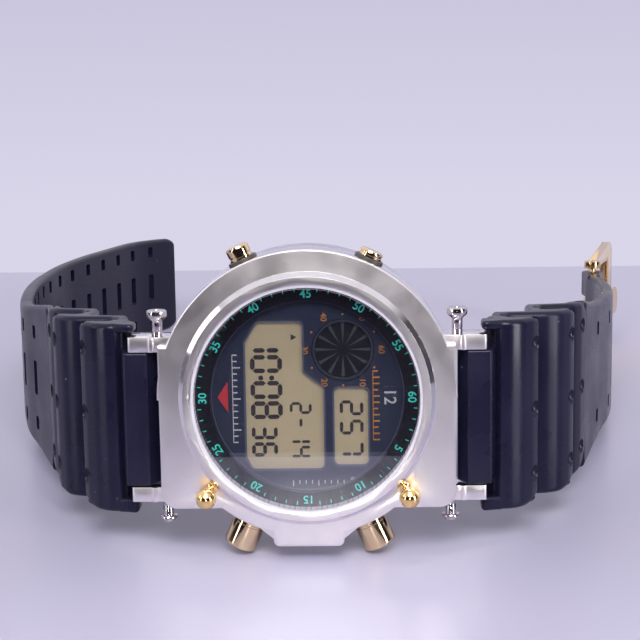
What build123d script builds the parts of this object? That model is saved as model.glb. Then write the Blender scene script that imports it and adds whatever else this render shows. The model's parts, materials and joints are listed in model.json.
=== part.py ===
"""Digital dive watch standing on its side: steel case, four pushers, bellows strap in two halves.

Case frame: x runs to the twelve o'clock side, "up" to the nine o'clock side, and depth is
counted backwards from the front face.  The whole watch leans back by LEAN, which is what it
takes to stand on its two lower pushers and the tip of the long strap.  The origin is the
centre of the flat case back.
"""
from build123d import *
import os
from math import atan2, cos, degrees, hypot, radians, sin

os.makedirs("parts", exist_ok=True)

# ---------------------------------------------------------------- fits and clearances (mm)
RUNNING = 0.05                 # radial clearance of a pin or shaft that turns or slides
LOOSE = 0.15                   # clearance of pieces that only drop into place
SWING_GAP = 0.25               # gap beside a face that another body swings past

# ---------------------------------------------------------------- case, front to back
GLASS_RADIUS = 17.6
GLASS_THICKNESS = 2.2
GLASS_CHAMFER = 0.25
GASKET_WALL = 0.45             # black seal round the edge of the glass
LIP_WALL = 1.25                # satin ring round the seal
LIP_HEIGHT = 0.9               # how far that ring stands above the plate
BEVEL_WIDTH = 0.75             # polished slope from the ring down to the plate
PLATE_TOP_RADIUS = 23.4        # round side of the plate, at nine o'clock
PLATE_LOW_RADIUS = 22.1        # round side of the plate, at three o'clock
PLATE_HALF_WIDTH = 23.1
SHOULDER_TOP = 8.4             # height of the plate's upper corners
SHOULDER_LOW = -17.45          # height of the plate's lower corners
SHOULDER_FILLET = 2.6
NOSE_HALF_WIDTH = 5.6          # the guard between the two lower pushers
NOSE_FLARE = 0.7               # how much wider it gets where it leaves the round side
NOSE_REACH = 23.7
NOSE_FILLET = 1.0
SHOULDER_DEPTH = 8.6           # depth of the back of the square shoulders
EDGE_CHAMFER = 0.2
BORE_RADIUS = 16.9             # room for the movement
DIAL_DEPTH = 3.6
THREAD_RADIUS = 17.9
BACK_THICKNESS = 1.8
BACK_RADIUS = 19.9
BACK_WALL = 2.0                # wall of the case back's threaded collar
BACK_NOTCHES = 6
BACK_NOTCH_WIDTH = 2.4
BACK_NOTCH_DEPTH = 0.8
BACK_SEAL_RADIUS = 18.9
BACK_SEAL_WIRE = 0.8

# ---------------------------------------------------------------- lugs and spring bars
LUG_GAP = 21.8                 # inside width between a pair of lugs
LUG_MIDDLE = -3.7              # height of the middle of that gap: the strap sits below centre
LUG_THICKNESS = 2.35
LUG_REACH = 28.15
LUG_FRONT = 3.4                # depth of the lugs' front faces
LUG_ROUND = 0.5
BAR_X = 26.1
BAR_DEPTH = 6.0
BAR_RADIUS = 0.75
BAR_TIP_RADIUS = 0.4
BAR_TIP_LENGTH = 1.2
RIB_RADIUS = 0.6               # small upright rib on each lug's front face
RIB_X = 24.45
RIB_PROUD = 0.3

# ---------------------------------------------------------------- pushers
PUSHER_ANGLE = 24.8            # of each pusher's axis from the upright, left and right
PUSHER_DEPTH = 5.5
PUSHER_TRAVEL = 0.8
STEM_RADIUS = 0.75
STEM_TIP = 16.35               # distance of the stem's inner end from the case's centre
TUBE_WALL = 0.55
CAP_CHAMFER = 0.3
SPRING_WIRE = 0.28
SPRING_TURNS = 2.5
SEAL_SHARE = 0.4375            # part of a lower pusher's tunnel that its seal fills
CLIP_THICKNESS = 0.25
CLIP_RADIUS = 1.35
CLIP_STEP = 0.15               # from the stem's tip to its clip
UPPER_CAP_RADIUS = 1.85
UPPER_SEAT_SHARE = 0.5846      # depth of the upper counterbores, as a share of the case's wall
LOWER_CAP_RADIUS = 2.65
LOWER_SEAT_SHARE = 0.6923
UPPER_LEFT_PROUD = 2.6         # how far each cap stands out of the case's side
UPPER_RIGHT_PROUD = 1.6
LOWER_PROUD = 5.1
CAP_ENTRY = 1.15               # how far a cap's skirt reaches into its counterbore

# ---------------------------------------------------------------- studs and bezel screws
BALL_RADIUS = 1.6
BALL_X = 15.85
BALL_UP = -15.2
BALL_DEPTH = -1.5
FOOT_X = 15.0
FOOT_UP = -13.9
FOOT_DEPTH = 1.5
NECK_RADIUS = 0.65
UPPER_SCREW_X = 23.5
LOWER_SCREW_X = 22.5
SCREW_DEPTH = 4.45
SHANK_RADIUS = 0.87
UPPER_HEAD_RADIUS = 1.6
UPPER_HEAD_HEIGHT = 1.7
HEAD_CONE = 0.33               # share of the upper head that is its cone
UPPER_SCREW_PROUD = 4.2        # from the lug's outer face to the top of the head
LOWER_HEAD_RADIUS = 1.1
LOWER_FLANGE_RADIUS = 1.45     # thin washer flange above the lower head
LOWER_FLANGE = 0.4
SCREW_SLOT = 0.6
LOWER_HEAD_HEIGHT = 0.9
LOWER_SCREW_PROUD = 3.4
SCREW_SOCKET = 1.5             # how deep a loose screw sits in the case

# ---------------------------------------------------------------- dial and display
RING_INNER_RADIUS = 15.3       # printed ring under the glass
RING_FLANGE = 0.5
DIAL_RADIUS = 16.7
DIAL_THICKNESS = 0.4
WINDOW_LEFT = -9.7
WINDOW_STEP_X = -0.75
WINDOW_RIGHT = 2.5
WINDOW_TOP = 11.7
WINDOW_STEP_UP = 1.2
WINDOW_LOW = -11.8
WINDOW_SLANT = 1.9             # width of the slanted upper corner, and a bit less below
WINDOW_SLANT_UP = 3.2          # height of that corner
WINDOW_SLOPE = 2.6             # height of the slope between the wide and the narrow part
WINDOW_ROUND = 0.8             # rounding of every window's corners
DAY_LEFT = 4.2
DAY_RIGHT = 9.5
DAY_TOP = 1.2
DAY_LOW = -11.2
GAUGE_X = 5.65
GAUGE_UP = 7.3
GAUGE_RADIUS = 4.9
GAUGE_RIM = 0.45
PANEL_MARGIN = 0.45            # glass hidden behind the dial round each window
PANEL_THICKNESS = 1.15
BACKLIGHT_THICKNESS = 0.2

# ---------------------------------------------------------------- movement
FRAME_RADIUS = 16.6
FRAME_FLOOR = 1.15             # web between the display and the circuit board
FRAME_STEP = 0.1               # the frame stands this much behind the battery
BOARD_RADIUS = 15.1
BOARD_THICKNESS = 0.8
RIM_STEP = 0.3                 # board stands off its pocket's wall by this much
NOTCH_WIDTH = 5.2
NOTCH_FLOOR = 15.3
CONTACT_THICKNESS = 0.2
ZEBRA_LENGTH = 16.0
ZEBRA_WIDTH = 1.5
BATTERY_RADIUS = 10.0
BATTERY_THICKNESS = 1.6
BATTERY_X = -4.4
CHIP_SIZE = 5.2
CHIP_HEIGHT = 0.8
CHIP_X = 9.6
CHIP_UP = -5.4
CRYSTAL_RADIUS = 0.9
CRYSTAL_LENGTH = 5.6
CRYSTAL_X = 9.3
CRYSTAL_UP = 6.4
COIL_RADIUS = 1.6
COIL_HEIGHT = 1.3
COIL_X = 9.4
COIL_UP = 0.9
BUZZER_PIN_X = 6.1
BUZZER_PIN_UP = 4.3
BUZZER_PIN_RADIUS = 0.45
BATTERY_CLIP_WIDTH = 4.4
CLIP_SHEET = 0.25
SHEET_THICKNESS = 0.1
SHEET_RADIUS = 15.2
BUZZER_RADIUS = 8.0
BUZZER_THICKNESS = 0.35
BUZZER_ROOM = 1.0              # air between the insulating sheet and the sounder

# ---------------------------------------------------------------- strap
# outlines as (distance from the middle, depth); both halves share the bellows
BELLOWS_OUTER = ((30.5, 6.3), (32.8, 6.3), (37.4, 11.3), (32.0, 10.5), (32.2, 14.3), (39.9, 14.9),
                 (44.2, 20.1), (38.3, 18.9), (38.6, 22.9), (43.2, 23.9), (47.1, 29.0))
BELLOWS_INNER = ((29.75, 7.2), (29.55, 8.0), (28.4, 9.2), (28.4, 11.2), (29.8, 12.6), (29.8, 16.6),
                 (36.1, 17.3), (36.1, 25.1), (42.7, 26.3))
TUCK_START = 38.0              # the long half's ridges are pressed in by a share of what lies
LONG_TUCK = 0.12               # further out than this
SLOPES = ((1, 2), (5, 6), (9, 10))     # corners at the ends of each ridge's dimpled slope
LONG_PATH = ((47.1, 29.0), (50.1, 37.0), (53.7, 44.0), (56.0, 52.0), (57.6, 62.0), (58.3, 72.0),
             (58.1, 80.0), (56.8, 89.0), (53.9, 98.6), (50.2, 110.0), (45.8, 122.0), (38.8, 134.0))
SHORT_PATH = ((47.1, 29.0), (51.0, 40.0), (55.0, 52.0), (57.5, 64.0), (58.3, 75.0), (57.6, 84.0))
# edges of the strap as (depth, height)
LONG_TOP = ((3.0, 11.3), (29.0, 11.1), (35.0, 10.2), (44.0, 9.0), (52.0, 8.9), (62.0, 9.6),
            (80.0, 10.2), (99.0, 11.6), (122.0, 12.3), (134.5, 12.0))
LONG_LOW = ((3.0, -19.6), (29.0, -19.0), (35.0, -17.1), (45.0, -14.8), (50.0, -12.2), (62.0, -11.8),
            (80.0, -11.4), (99.0, -10.8), (122.0, -10.0), (134.5, -9.6))
SHORT_TOP = ((3.0, 11.3), (29.0, 11.1), (36.0, 9.6), (44.0, 8.6), (64.0, 8.1), (75.0, 8.3), (92.0, 8.6))
SHORT_LOW = ((3.0, -19.6), (29.0, -19.0), (36.0, -17.1), (45.0, -15.6), (64.0, -15.2), (75.0, -11.4),
             (82.0, -8.5), (92.0, -8.5))
BAND_WALL = 2.6
NOSE_RADIUS = 2.45             # strap end that turns on the spring bar
NOSE_FRONT = ((25.15, 3.5), (28.9, 3.5), (29.9, 7.2))   # its flat front face
WEB_FRONT = 7.4
WEB_BACK = 9.4                 # depth of the back of the web between nose and bellows
EAR_INNER_X = 27.5             # the strap's ears reach inwards past the lugs' ends
EAR_FRONT = 5.2
EAR_BACK = 9.4
TIP_FILLET = 4.0
VENT = (1.7, 2.4)              # length along the band and height of a vent hole
SLOT = (1.9, 6.2)
VENT_ROW = 8.35                # vent holes lie this far above and below the middle
SHORT_VENT_ROW = 8.0
SHORT_VENTS = (40.0, 52.0, 64.0)
LONG_COLUMNS = 14
LONG_FIRST = 37.5              # depth of the first column, on the long half
LONG_LAST = 126.0
TIP_GROOVE = 131.2
TIP_GROOVE_SIZE = 0.5
DIMPLE_RADIUS = 1.35
DIMPLE_DEPTH = 0.45
DIMPLE_PITCH = 10.6
DIMPLE_PLACE = 0.68            # share of the slope between its front edge and the dimples

# ---------------------------------------------------------------- buckle
PIN_X = 57.2
PIN_DEPTH = 88.5
PIN_UP = 0.0
PIN_RADIUS = 0.75
LOOP_RADIUS = 2.2              # strap end wrapped round the buckle pin
LOOP_WIDTH = 17.0
BUCKLE_TURN = 17.0             # the frame points this far outwards from straight back
BUCKLE_LENGTH = 23.5
BUCKLE_NARROW = 20.6           # height of the frame at the pin
BUCKLE_WIDTH = 25.0            # height of the frame at its far end
WINDOW_NEAR = 17.8             # height of its window at the pin
WINDOW_FAR = 17.2
BUCKLE_OFFSET = 0.3            # middle of the frame above the middle of the pin's loop
END_PLATE = 6.5
END_FILLET = 3.0
BUCKLE_THICKNESS = 1.7
EYE_RADIUS = 1.7
TONGUE_TURN = 6.5              # the tongue rests on the end plate, this much outside the frame
TONGUE_WIDTH = 5.9
TONGUE_THICKNESS = 1.2
TONGUE_LENGTH = 19.5
TONGUE_ROOM = 0.5
TONGUE_SWEEP = 3.4             # radius kept clear round the pin for the tongue's eye

# ---------------------------------------------------------------- derived sizes
LIP_INNER = GLASS_RADIUS + GASKET_WALL
LIP_OUTER = LIP_INNER + LIP_WALL
LUG_TOP = LUG_MIDDLE + LUG_GAP / 2
LUG_LOW = LUG_MIDDLE - LUG_GAP / 2
PANEL_FRONT = DIAL_DEPTH + DIAL_THICKNESS
PANEL_BACK = PANEL_FRONT + PANEL_THICKNESS
POCKET_BACK = PANEL_BACK + BACKLIGHT_THICKNESS
BOARD_FRONT = POCKET_BACK + FRAME_FLOOR
BOARD_BACK = BOARD_FRONT + BOARD_THICKNESS
BATTERY_BACK = BOARD_BACK + BATTERY_THICKNESS
FRAME_BACK = BATTERY_BACK + FRAME_STEP
SHEET_FRONT = BATTERY_BACK + CLIP_SHEET
BODY_DEPTH = SHEET_FRONT + SHEET_THICKNESS + BUZZER_ROOM + BUZZER_THICKNESS
CASE_THICKNESS = BODY_DEPTH + BACK_THICKNESS
LOWER_END = PLATE_LOW_RADIUS + LOWER_PROUD
TUBE_RADIUS = STEM_RADIUS + RUNNING + TUBE_WALL

# the watch stands on the lower pushers' rims and on the long strap's tip
PUSHER_LOW = -(LOWER_END * cos(radians(PUSHER_ANGLE)) + LOWER_CAP_RADIUS * sin(radians(PUSHER_ANGLE)))
TIP_LOW = LONG_LOW[-1][1]
LEAN = degrees(atan2(TIP_LOW - PUSHER_LOW, LONG_PATH[-1][1] - 3 * TIP_FILLET / 4 - PUSHER_DEPTH))

OUT = Vector(0, -cos(radians(LEAN)), sin(radians(LEAN)))
BACK = Plane(origin=(0, 0, 0), x_dir=(1, 0, 0), z_dir=OUT)
FACE = BACK.offset(CASE_THICKNESS)
UP = FACE.y_dir
ABOVE = Plane(origin=FACE.origin, x_dir=(1, 0, 0), z_dir=UP)
BESIDE = Plane(origin=FACE.origin, x_dir=-OUT, z_dir=(1, 0, 0))


def at_depth(depth):
    """Plane parallel to the face; its sketches have x across and y up."""
    return FACE.offset(-depth)


def at_height(height):
    """Plane across the case; its sketches have x across and y backwards."""
    return ABOVE.offset(height)


def case_point(x, up, depth):
    """Row coordinates of a point given in the case's own terms."""
    return FACE.from_local_coords(Vector(x, up, -depth))


def save(piece, label):
    """Give a finished piece its name and write its file."""
    piece.part.label = label
    export_step(piece.part, f"parts/{label}.step")


def ring(inner, outer, front, back):
    """Flat washer between two depths of the case."""
    with BuildPart() as washer:
        with BuildSketch(at_depth(back)):
            Circle(outer)
            Circle(inner, mode=Mode.SUBTRACT)
        extrude(amount=back - front)
    return washer


# ================================================================ pushers' places
def pusher_plane(side, upright, distance):
    """Plane square to a pusher's axis, its normal pointing outwards, at a distance from the centre."""
    turn = radians(PUSHER_ANGLE)
    outward = FACE.x_dir * (side * sin(turn)) + UP * (upright * cos(turn))
    return Plane(origin=case_point(0, 0, PUSHER_DEPTH) + outward * distance, x_dir=OUT, z_dir=outward)


# side, upright, cap's radius, and the distances of its counterbore's floor, the wall and its end
HIGH, LOW = PLATE_TOP_RADIUS, PLATE_LOW_RADIUS
UPPER_SEAT = UPPER_SEAT_SHARE * (HIGH - BORE_RADIUS)
LOWER_SEAT = LOWER_SEAT_SHARE * (LOW - BORE_RADIUS)
SEAL_THICKNESS = SEAL_SHARE * (LOW - LOWER_SEAT - BORE_RADIUS)
PUSHERS = {
    "pusher_upper_left": (-1, 1, UPPER_CAP_RADIUS, HIGH - UPPER_SEAT, HIGH, HIGH + UPPER_LEFT_PROUD),
    "pusher_upper_right": (1, 1, UPPER_CAP_RADIUS, HIGH - UPPER_SEAT, HIGH, HIGH + UPPER_RIGHT_PROUD),
    "pusher_lower_left": (-1, -1, LOWER_CAP_RADIUS, LOW - LOWER_SEAT, LOW, LOWER_END),
    "pusher_lower_right": (1, -1, LOWER_CAP_RADIUS, LOW - LOWER_SEAT, LOW, LOWER_END),
}

def neck_plane(side):
    """Plane at the buried foot of a stud's neck, its normal pointing at the ball."""
    foot = case_point(side * FOOT_X, FOOT_UP, FOOT_DEPTH)
    return Plane(origin=foot, z_dir=case_point(side * BALL_X, BALL_UP, BALL_DEPTH) - foot)


# ================================================================ case body
PLATE_DEPTH = LIP_HEIGHT + EDGE_CHAMFER
with BuildPart() as case_body:
    # round body behind the plate, flatter towards the wearer's hand
    for radius, top in ((PLATE_TOP_RADIUS, True), (PLATE_LOW_RADIUS, False)):
        with BuildSketch(at_depth(PLATE_DEPTH)) as disc:
            Circle(radius)
            if top:
                with Locations((0, -radius)):
                    Rectangle(3 * radius, 2 * radius, mode=Mode.SUBTRACT)
        extrude(amount=-(BODY_DEPTH - PLATE_DEPTH))
        extrude(disc.sketch, amount=EDGE_CHAMFER, taper=45)
    # square shoulders that carry the lugs
    with BuildSketch(at_depth(PLATE_DEPTH)) as block:
        with Locations((0, (SHOULDER_TOP + SHOULDER_LOW) / 2)):
            shoulders = Rectangle(2 * PLATE_HALF_WIDTH, SHOULDER_TOP - SHOULDER_LOW)
        fillet(shoulders.vertices().group_by(Axis.Y)[0], SHOULDER_FILLET)
    extrude(amount=-(SHOULDER_DEPTH - PLATE_DEPTH))
    extrude(block.sketch, amount=EDGE_CHAMFER, taper=45)
    # nose between the lower pushers
    with BuildSketch(at_depth(PLATE_DEPTH)) as guard:
        with Locations((0, -NOSE_REACH / 2)):
            nose = Rectangle(2 * NOSE_HALF_WIDTH, NOSE_REACH)
        fillet(nose.vertices().group_by(Axis.Y)[0], NOSE_FILLET)
    extrude(amount=-(SHOULDER_DEPTH - PLATE_DEPTH))
    extrude(guard.sketch, amount=EDGE_CHAMFER, taper=45)
    # wedges where the nose flares into the round side
    with BuildSketch(at_depth(PLATE_DEPTH)):
        with BuildLine():
            Polyline((-NOSE_HALF_WIDTH - 3 * NOSE_FLARE, -PLATE_LOW_RADIUS + 2 * NOSE_FLARE),
                     (-NOSE_HALF_WIDTH, -PLATE_LOW_RADIUS - NOSE_FLARE / 2),
                     (NOSE_HALF_WIDTH, -PLATE_LOW_RADIUS - NOSE_FLARE / 2),
                     (NOSE_HALF_WIDTH + 3 * NOSE_FLARE, -PLATE_LOW_RADIUS + 2 * NOSE_FLARE), close=True)
        make_face()
    extrude(amount=-(SHOULDER_DEPTH - PLATE_DEPTH))
    # raised ring with its polished slope
    with BuildSketch(at_depth(LIP_HEIGHT)):
        Circle(LIP_OUTER + BEVEL_WIDTH)
    with BuildSketch(FACE):
        Circle(LIP_OUTER)
    loft()
    # lugs, with a rounded outer end and a small upright rib
    for side in (-1, 1):
        for low in (LUG_TOP, LUG_LOW - LUG_THICKNESS):
            with BuildSketch(at_height(low)):
                with Locations((side * (LUG_REACH + BORE_RADIUS) / 2, (LUG_FRONT + SHOULDER_DEPTH) / 2)):
                    lug = Rectangle(LUG_REACH - BORE_RADIUS, SHOULDER_DEPTH - LUG_FRONT)
                fillet(lug.vertices().sort_by(Axis((0, 0, 0), (side, 0, 0)))[-2:], LUG_ROUND)
                with Locations((side * RIB_X, LUG_FRONT - RIB_PROUD + RIB_RADIUS)):
                    Circle(RIB_RADIUS)
            extrude(amount=LUG_THICKNESS)
    # holes for the spring bars' tips
    with BuildSketch(at_height(LUG_LOW - BAR_TIP_LENGTH - LOOSE)):
        with Locations((BAR_X, BAR_DEPTH), (-BAR_X, BAR_DEPTH)):
            Circle(BAR_TIP_RADIUS + LOOSE / 3)
    extrude(amount=LUG_GAP + 2 * (BAR_TIP_LENGTH + LOOSE), mode=Mode.SUBTRACT)
    # seat of the glass and seal, bore of the movement, thread and seal groove of the back
    with BuildSketch(FACE):
        Circle(LIP_INNER)
    extrude(amount=-(GLASS_THICKNESS + RING_FLANGE), mode=Mode.SUBTRACT)
    with BuildSketch(FACE):
        Circle(RING_INNER_RADIUS + 1.1)
    extrude(amount=-BODY_DEPTH, mode=Mode.SUBTRACT)
    with BuildSketch(at_depth(DIAL_DEPTH)):
        Circle(BORE_RADIUS)
    extrude(amount=-(BODY_DEPTH - DIAL_DEPTH), mode=Mode.SUBTRACT)
    with BuildSketch(at_depth(FRAME_BACK - LOOSE)):
        Circle(THREAD_RADIUS)
    extrude(amount=FRAME_BACK - LOOSE - BODY_DEPTH, mode=Mode.SUBTRACT)
    with BuildSketch(at_depth(BODY_DEPTH - BACK_SEAL_WIRE)):
        Circle(BACK_SEAL_RADIUS + BACK_SEAL_WIRE / 2)
        Circle(BACK_SEAL_RADIUS - BACK_SEAL_WIRE / 2, mode=Mode.SUBTRACT)
    extrude(amount=-BACK_SEAL_WIRE, mode=Mode.SUBTRACT)
    # counterbores and through holes of the four pushers
    for side, upright, cap_radius, seat, wall, end in PUSHERS.values():
        with BuildSketch(pusher_plane(side, upright, seat)):
            Circle(cap_radius + LOOSE)
        extrude(amount=end - seat, mode=Mode.SUBTRACT)
        with BuildSketch(pusher_plane(side, upright, 0)):
            Circle(TUBE_RADIUS)
        extrude(amount=seat, mode=Mode.SUBTRACT)
    # sockets that the loose cover screws stand in
    with BuildSketch(at_height(LUG_TOP + LUG_THICKNESS)):
        with Locations((UPPER_SCREW_X, SCREW_DEPTH), (-UPPER_SCREW_X, SCREW_DEPTH)):
            Circle(SHANK_RADIUS + LOOSE / 2)
    extrude(amount=-SCREW_SOCKET, mode=Mode.SUBTRACT)
    with BuildSketch(at_height(LUG_LOW - LUG_THICKNESS + SCREW_SOCKET)):
        with Locations((LOWER_SCREW_X, SCREW_DEPTH), (-LOWER_SCREW_X, SCREW_DEPTH)):
            Circle(SHANK_RADIUS + LOOSE / 2)
    extrude(amount=-2 * SCREW_SOCKET, mode=Mode.SUBTRACT)
    # holes that the studs' necks are pressed into
    for side in (-1, 1):
        with BuildSketch(neck_plane(side)):
            Circle(NECK_RADIUS)
        extrude(amount=BALL_RADIUS, mode=Mode.SUBTRACT)
save(case_body, "case_body")

# ================================================================ glass, seal and printed ring
with BuildPart() as glass:
    with BuildSketch(FACE):
        Circle(GLASS_RADIUS)
    extrude(amount=-GLASS_THICKNESS)
    chamfer(glass.edges().group_by(Axis(FACE.origin, OUT))[-1], GLASS_CHAMFER)
save(glass, "glass")

glass_gasket = ring(GLASS_RADIUS, LIP_INNER, 0.1, GLASS_THICKNESS)
save(glass_gasket, "glass_gasket")

with BuildPart() as printed_ring:
    with BuildSketch(at_depth(GLASS_THICKNESS + RING_FLANGE)):
        Circle(LIP_INNER - LOOSE)
        Circle(RING_INNER_RADIUS, mode=Mode.SUBTRACT)
    extrude(amount=RING_FLANGE)
    with BuildSketch(at_depth(DIAL_DEPTH)):
        Circle(RING_INNER_RADIUS + 1.1 - LOOSE)
        Circle(RING_INNER_RADIUS, mode=Mode.SUBTRACT)
    extrude(amount=DIAL_DEPTH - GLASS_THICKNESS)
save(printed_ring, "printed_ring")


# ================================================================ dial with its three windows
def main_window(margin):
    """L-shaped outline of the main display window with round corners, grown by a margin."""
    FilletPolyline((WINDOW_LEFT - margin, WINDOW_LOW - margin + WINDOW_SLANT),
                   (WINDOW_LEFT - margin, WINDOW_TOP + margin - WINDOW_SLANT_UP),
                   (WINDOW_LEFT - margin + WINDOW_SLANT, WINDOW_TOP + margin),
                   (WINDOW_STEP_X + margin, WINDOW_TOP + margin),
                   (WINDOW_STEP_X + margin, WINDOW_STEP_UP + margin + WINDOW_SLOPE),
                   (WINDOW_RIGHT + margin, WINDOW_STEP_UP + margin),
                   (WINDOW_RIGHT + margin, WINDOW_LOW - margin),
                   (WINDOW_LEFT - margin + WINDOW_SLANT / 2, WINDOW_LOW - margin),
                   radius=WINDOW_ROUND, close=True)


with BuildPart() as dial_plate:
    with BuildSketch(at_depth(PANEL_FRONT)):
        Circle(DIAL_RADIUS)
        with BuildLine():
            main_window(0)
        make_face(mode=Mode.SUBTRACT)
        with Locations(((DAY_LEFT + DAY_RIGHT) / 2, (DAY_TOP + DAY_LOW) / 2)):
            RectangleRounded(DAY_RIGHT - DAY_LEFT, DAY_TOP - DAY_LOW, WINDOW_ROUND, mode=Mode.SUBTRACT)
        with Locations((GAUGE_X, GAUGE_UP)):
            Circle(GAUGE_RADIUS, mode=Mode.SUBTRACT)
    extrude(amount=DIAL_THICKNESS)
save(dial_plate, "dial_plate")

with BuildPart() as gauge_rim:
    with BuildSketch(at_depth(PANEL_FRONT)):
        with Locations((GAUGE_X, GAUGE_UP)):
            Circle(GAUGE_RADIUS)
    with BuildSketch(at_depth(DIAL_DEPTH - GAUGE_RIM / 2)):
        with Locations((GAUGE_X, GAUGE_UP)):
            Circle(GAUGE_RADIUS - GAUGE_RIM / 3)
    loft()
    with BuildSketch(at_depth(PANEL_FRONT)):
        with Locations((GAUGE_X, GAUGE_UP)):
            Circle(GAUGE_RADIUS - GAUGE_RIM)
    extrude(amount=DIAL_THICKNESS + GAUGE_RIM, mode=Mode.SUBTRACT)
save(gauge_rim, "gauge_rim")

with BuildPart() as display_panel:
    with BuildSketch(at_depth(PANEL_BACK)):
        with BuildLine():
            main_window(PANEL_MARGIN)
        make_face()
        with Locations(((DAY_LEFT + DAY_RIGHT) / 2 - PANEL_MARGIN, (DAY_TOP + DAY_LOW) / 2)):
            Rectangle(DAY_RIGHT - DAY_LEFT + 3 * PANEL_MARGIN, DAY_TOP - DAY_LOW + 2 * PANEL_MARGIN)
    extrude(amount=PANEL_THICKNESS)
save(display_panel, "display_panel")

with BuildPart() as backlight_sheet:
    with BuildSketch(at_depth(POCKET_BACK)):
        with BuildLine():
            main_window(PANEL_MARGIN)
        make_face()
        with Locations(((DAY_LEFT + DAY_RIGHT) / 2 - PANEL_MARGIN, (DAY_TOP + DAY_LOW) / 2)):
            Rectangle(DAY_RIGHT - DAY_LEFT + 3 * PANEL_MARGIN, DAY_TOP - DAY_LOW + 2 * PANEL_MARGIN)
    extrude(amount=BACKLIGHT_THICKNESS)
save(backlight_sheet, "backlight_sheet")

with BuildPart() as gauge_panel:
    with BuildSketch(at_depth(POCKET_BACK)):
        with Locations((GAUGE_X, GAUGE_UP)):
            Circle(GAUGE_RADIUS - LOOSE)
    extrude(amount=POCKET_BACK - PANEL_FRONT)
save(gauge_panel, "gauge_panel")

# ================================================================ movement
ZEBRA_UPS = (WINDOW_TOP - ZEBRA_WIDTH / 2, WINDOW_LOW + ZEBRA_WIDTH / 2)
ZEBRA_LENGTH = WINDOW_STEP_X - WINDOW_LEFT - WINDOW_SLANT
ZEBRA_X = WINDOW_STEP_X - ZEBRA_LENGTH / 2

with BuildPart() as movement_frame:
    with BuildSketch(at_depth(FRAME_BACK)):
        Circle(FRAME_RADIUS)
    extrude(amount=FRAME_BACK - PANEL_FRONT)
    # pocket for the two display panels, open to the dial
    with BuildSketch(at_depth(POCKET_BACK)):
        with BuildLine():
            main_window(PANEL_MARGIN + LOOSE)
        make_face()
        with Locations(((DAY_LEFT + DAY_RIGHT) / 2 - PANEL_MARGIN, (DAY_TOP + DAY_LOW) / 2)):
            Rectangle(DAY_RIGHT - DAY_LEFT + 3 * PANEL_MARGIN + 2 * LOOSE,
                      DAY_TOP - DAY_LOW + 2 * (PANEL_MARGIN + LOOSE))
        with Locations((GAUGE_X, GAUGE_UP)):
            Circle(GAUGE_RADIUS + PANEL_MARGIN / 2 + LOOSE)
    extrude(amount=POCKET_BACK - PANEL_FRONT, mode=Mode.SUBTRACT)
    # pocket for the board and the battery, open to the back
    with BuildSketch(at_depth(FRAME_BACK)):
        Circle(BOARD_RADIUS + RIM_STEP)
    extrude(amount=FRAME_BACK - BOARD_FRONT, mode=Mode.SUBTRACT)
    # notches where the pushers' stems come in
    for side, upright, cap_radius, seat, wall, end in PUSHERS.values():
        with BuildSketch(pusher_plane(side, upright, NOTCH_FLOOR)):
            Rectangle(NOTCH_WIDTH * 2, NOTCH_WIDTH)
        extrude(amount=FRAME_RADIUS, mode=Mode.SUBTRACT)
    # slots for the connector strips
    with BuildSketch(at_depth(BOARD_FRONT)):
        with Locations(*[(ZEBRA_X, up) for up in ZEBRA_UPS]):
            Rectangle(ZEBRA_LENGTH + 2 * LOOSE, ZEBRA_WIDTH + 2 * LOOSE)
    extrude(amount=FRAME_FLOOR, mode=Mode.SUBTRACT)
save(movement_frame, "movement_frame")

with BuildPart() as connector_strips:
    with BuildSketch(at_depth(BOARD_FRONT)):
        with Locations(*[(ZEBRA_X, up) for up in ZEBRA_UPS]):
            Rectangle(ZEBRA_LENGTH, ZEBRA_WIDTH)
    extrude(amount=FRAME_FLOOR)
save(connector_strips, "connector_strips")

with BuildPart() as circuit_board:
    with BuildSketch(at_depth(BOARD_BACK)):
        Circle(BOARD_RADIUS)
    extrude(amount=BOARD_THICKNESS)
save(circuit_board, "circuit_board")

with BuildPart() as chip:
    with BuildSketch(at_depth(BOARD_BACK)):
        with Locations((CHIP_X, CHIP_UP)):
            Rectangle(CHIP_SIZE, CHIP_SIZE)
    extrude(amount=-CHIP_HEIGHT)
    chamfer(chip.edges().group_by(Axis(FACE.origin, OUT))[0], CHIP_HEIGHT / 4)
save(chip, "chip")

with BuildPart() as quartz_crystal:
    with BuildSketch(at_height(CRYSTAL_UP - CRYSTAL_LENGTH / 2)):
        with Locations((CRYSTAL_X, BOARD_BACK + CRYSTAL_RADIUS)):
            Circle(CRYSTAL_RADIUS)
    extrude(amount=CRYSTAL_LENGTH)
save(quartz_crystal, "quartz_crystal")

with BuildPart() as booster_coil:
    with BuildSketch(at_depth(BOARD_BACK)):
        with Locations((COIL_X, COIL_UP)):
            Circle(COIL_RADIUS)
    extrude(amount=-COIL_HEIGHT)
    with BuildSketch(at_depth(BOARD_BACK + COIL_HEIGHT / 4)):
        with Locations((COIL_X, COIL_UP)):
            Circle(COIL_RADIUS + LOOSE)
            Circle(COIL_RADIUS * 0.7, mode=Mode.SUBTRACT)
    extrude(amount=-COIL_HEIGHT / 2, mode=Mode.SUBTRACT)
save(booster_coil, "booster_coil")

with BuildPart() as button_contacts:
    for side, upright, cap_radius, seat, wall, end in PUSHERS.values():
        with BuildSketch(pusher_plane(side, upright, NOTCH_FLOOR)):
            Rectangle(NOTCH_WIDTH / 2, NOTCH_WIDTH - 4 * LOOSE)
        extrude(amount=CONTACT_THICKNESS)
save(button_contacts, "button_contacts")

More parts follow.
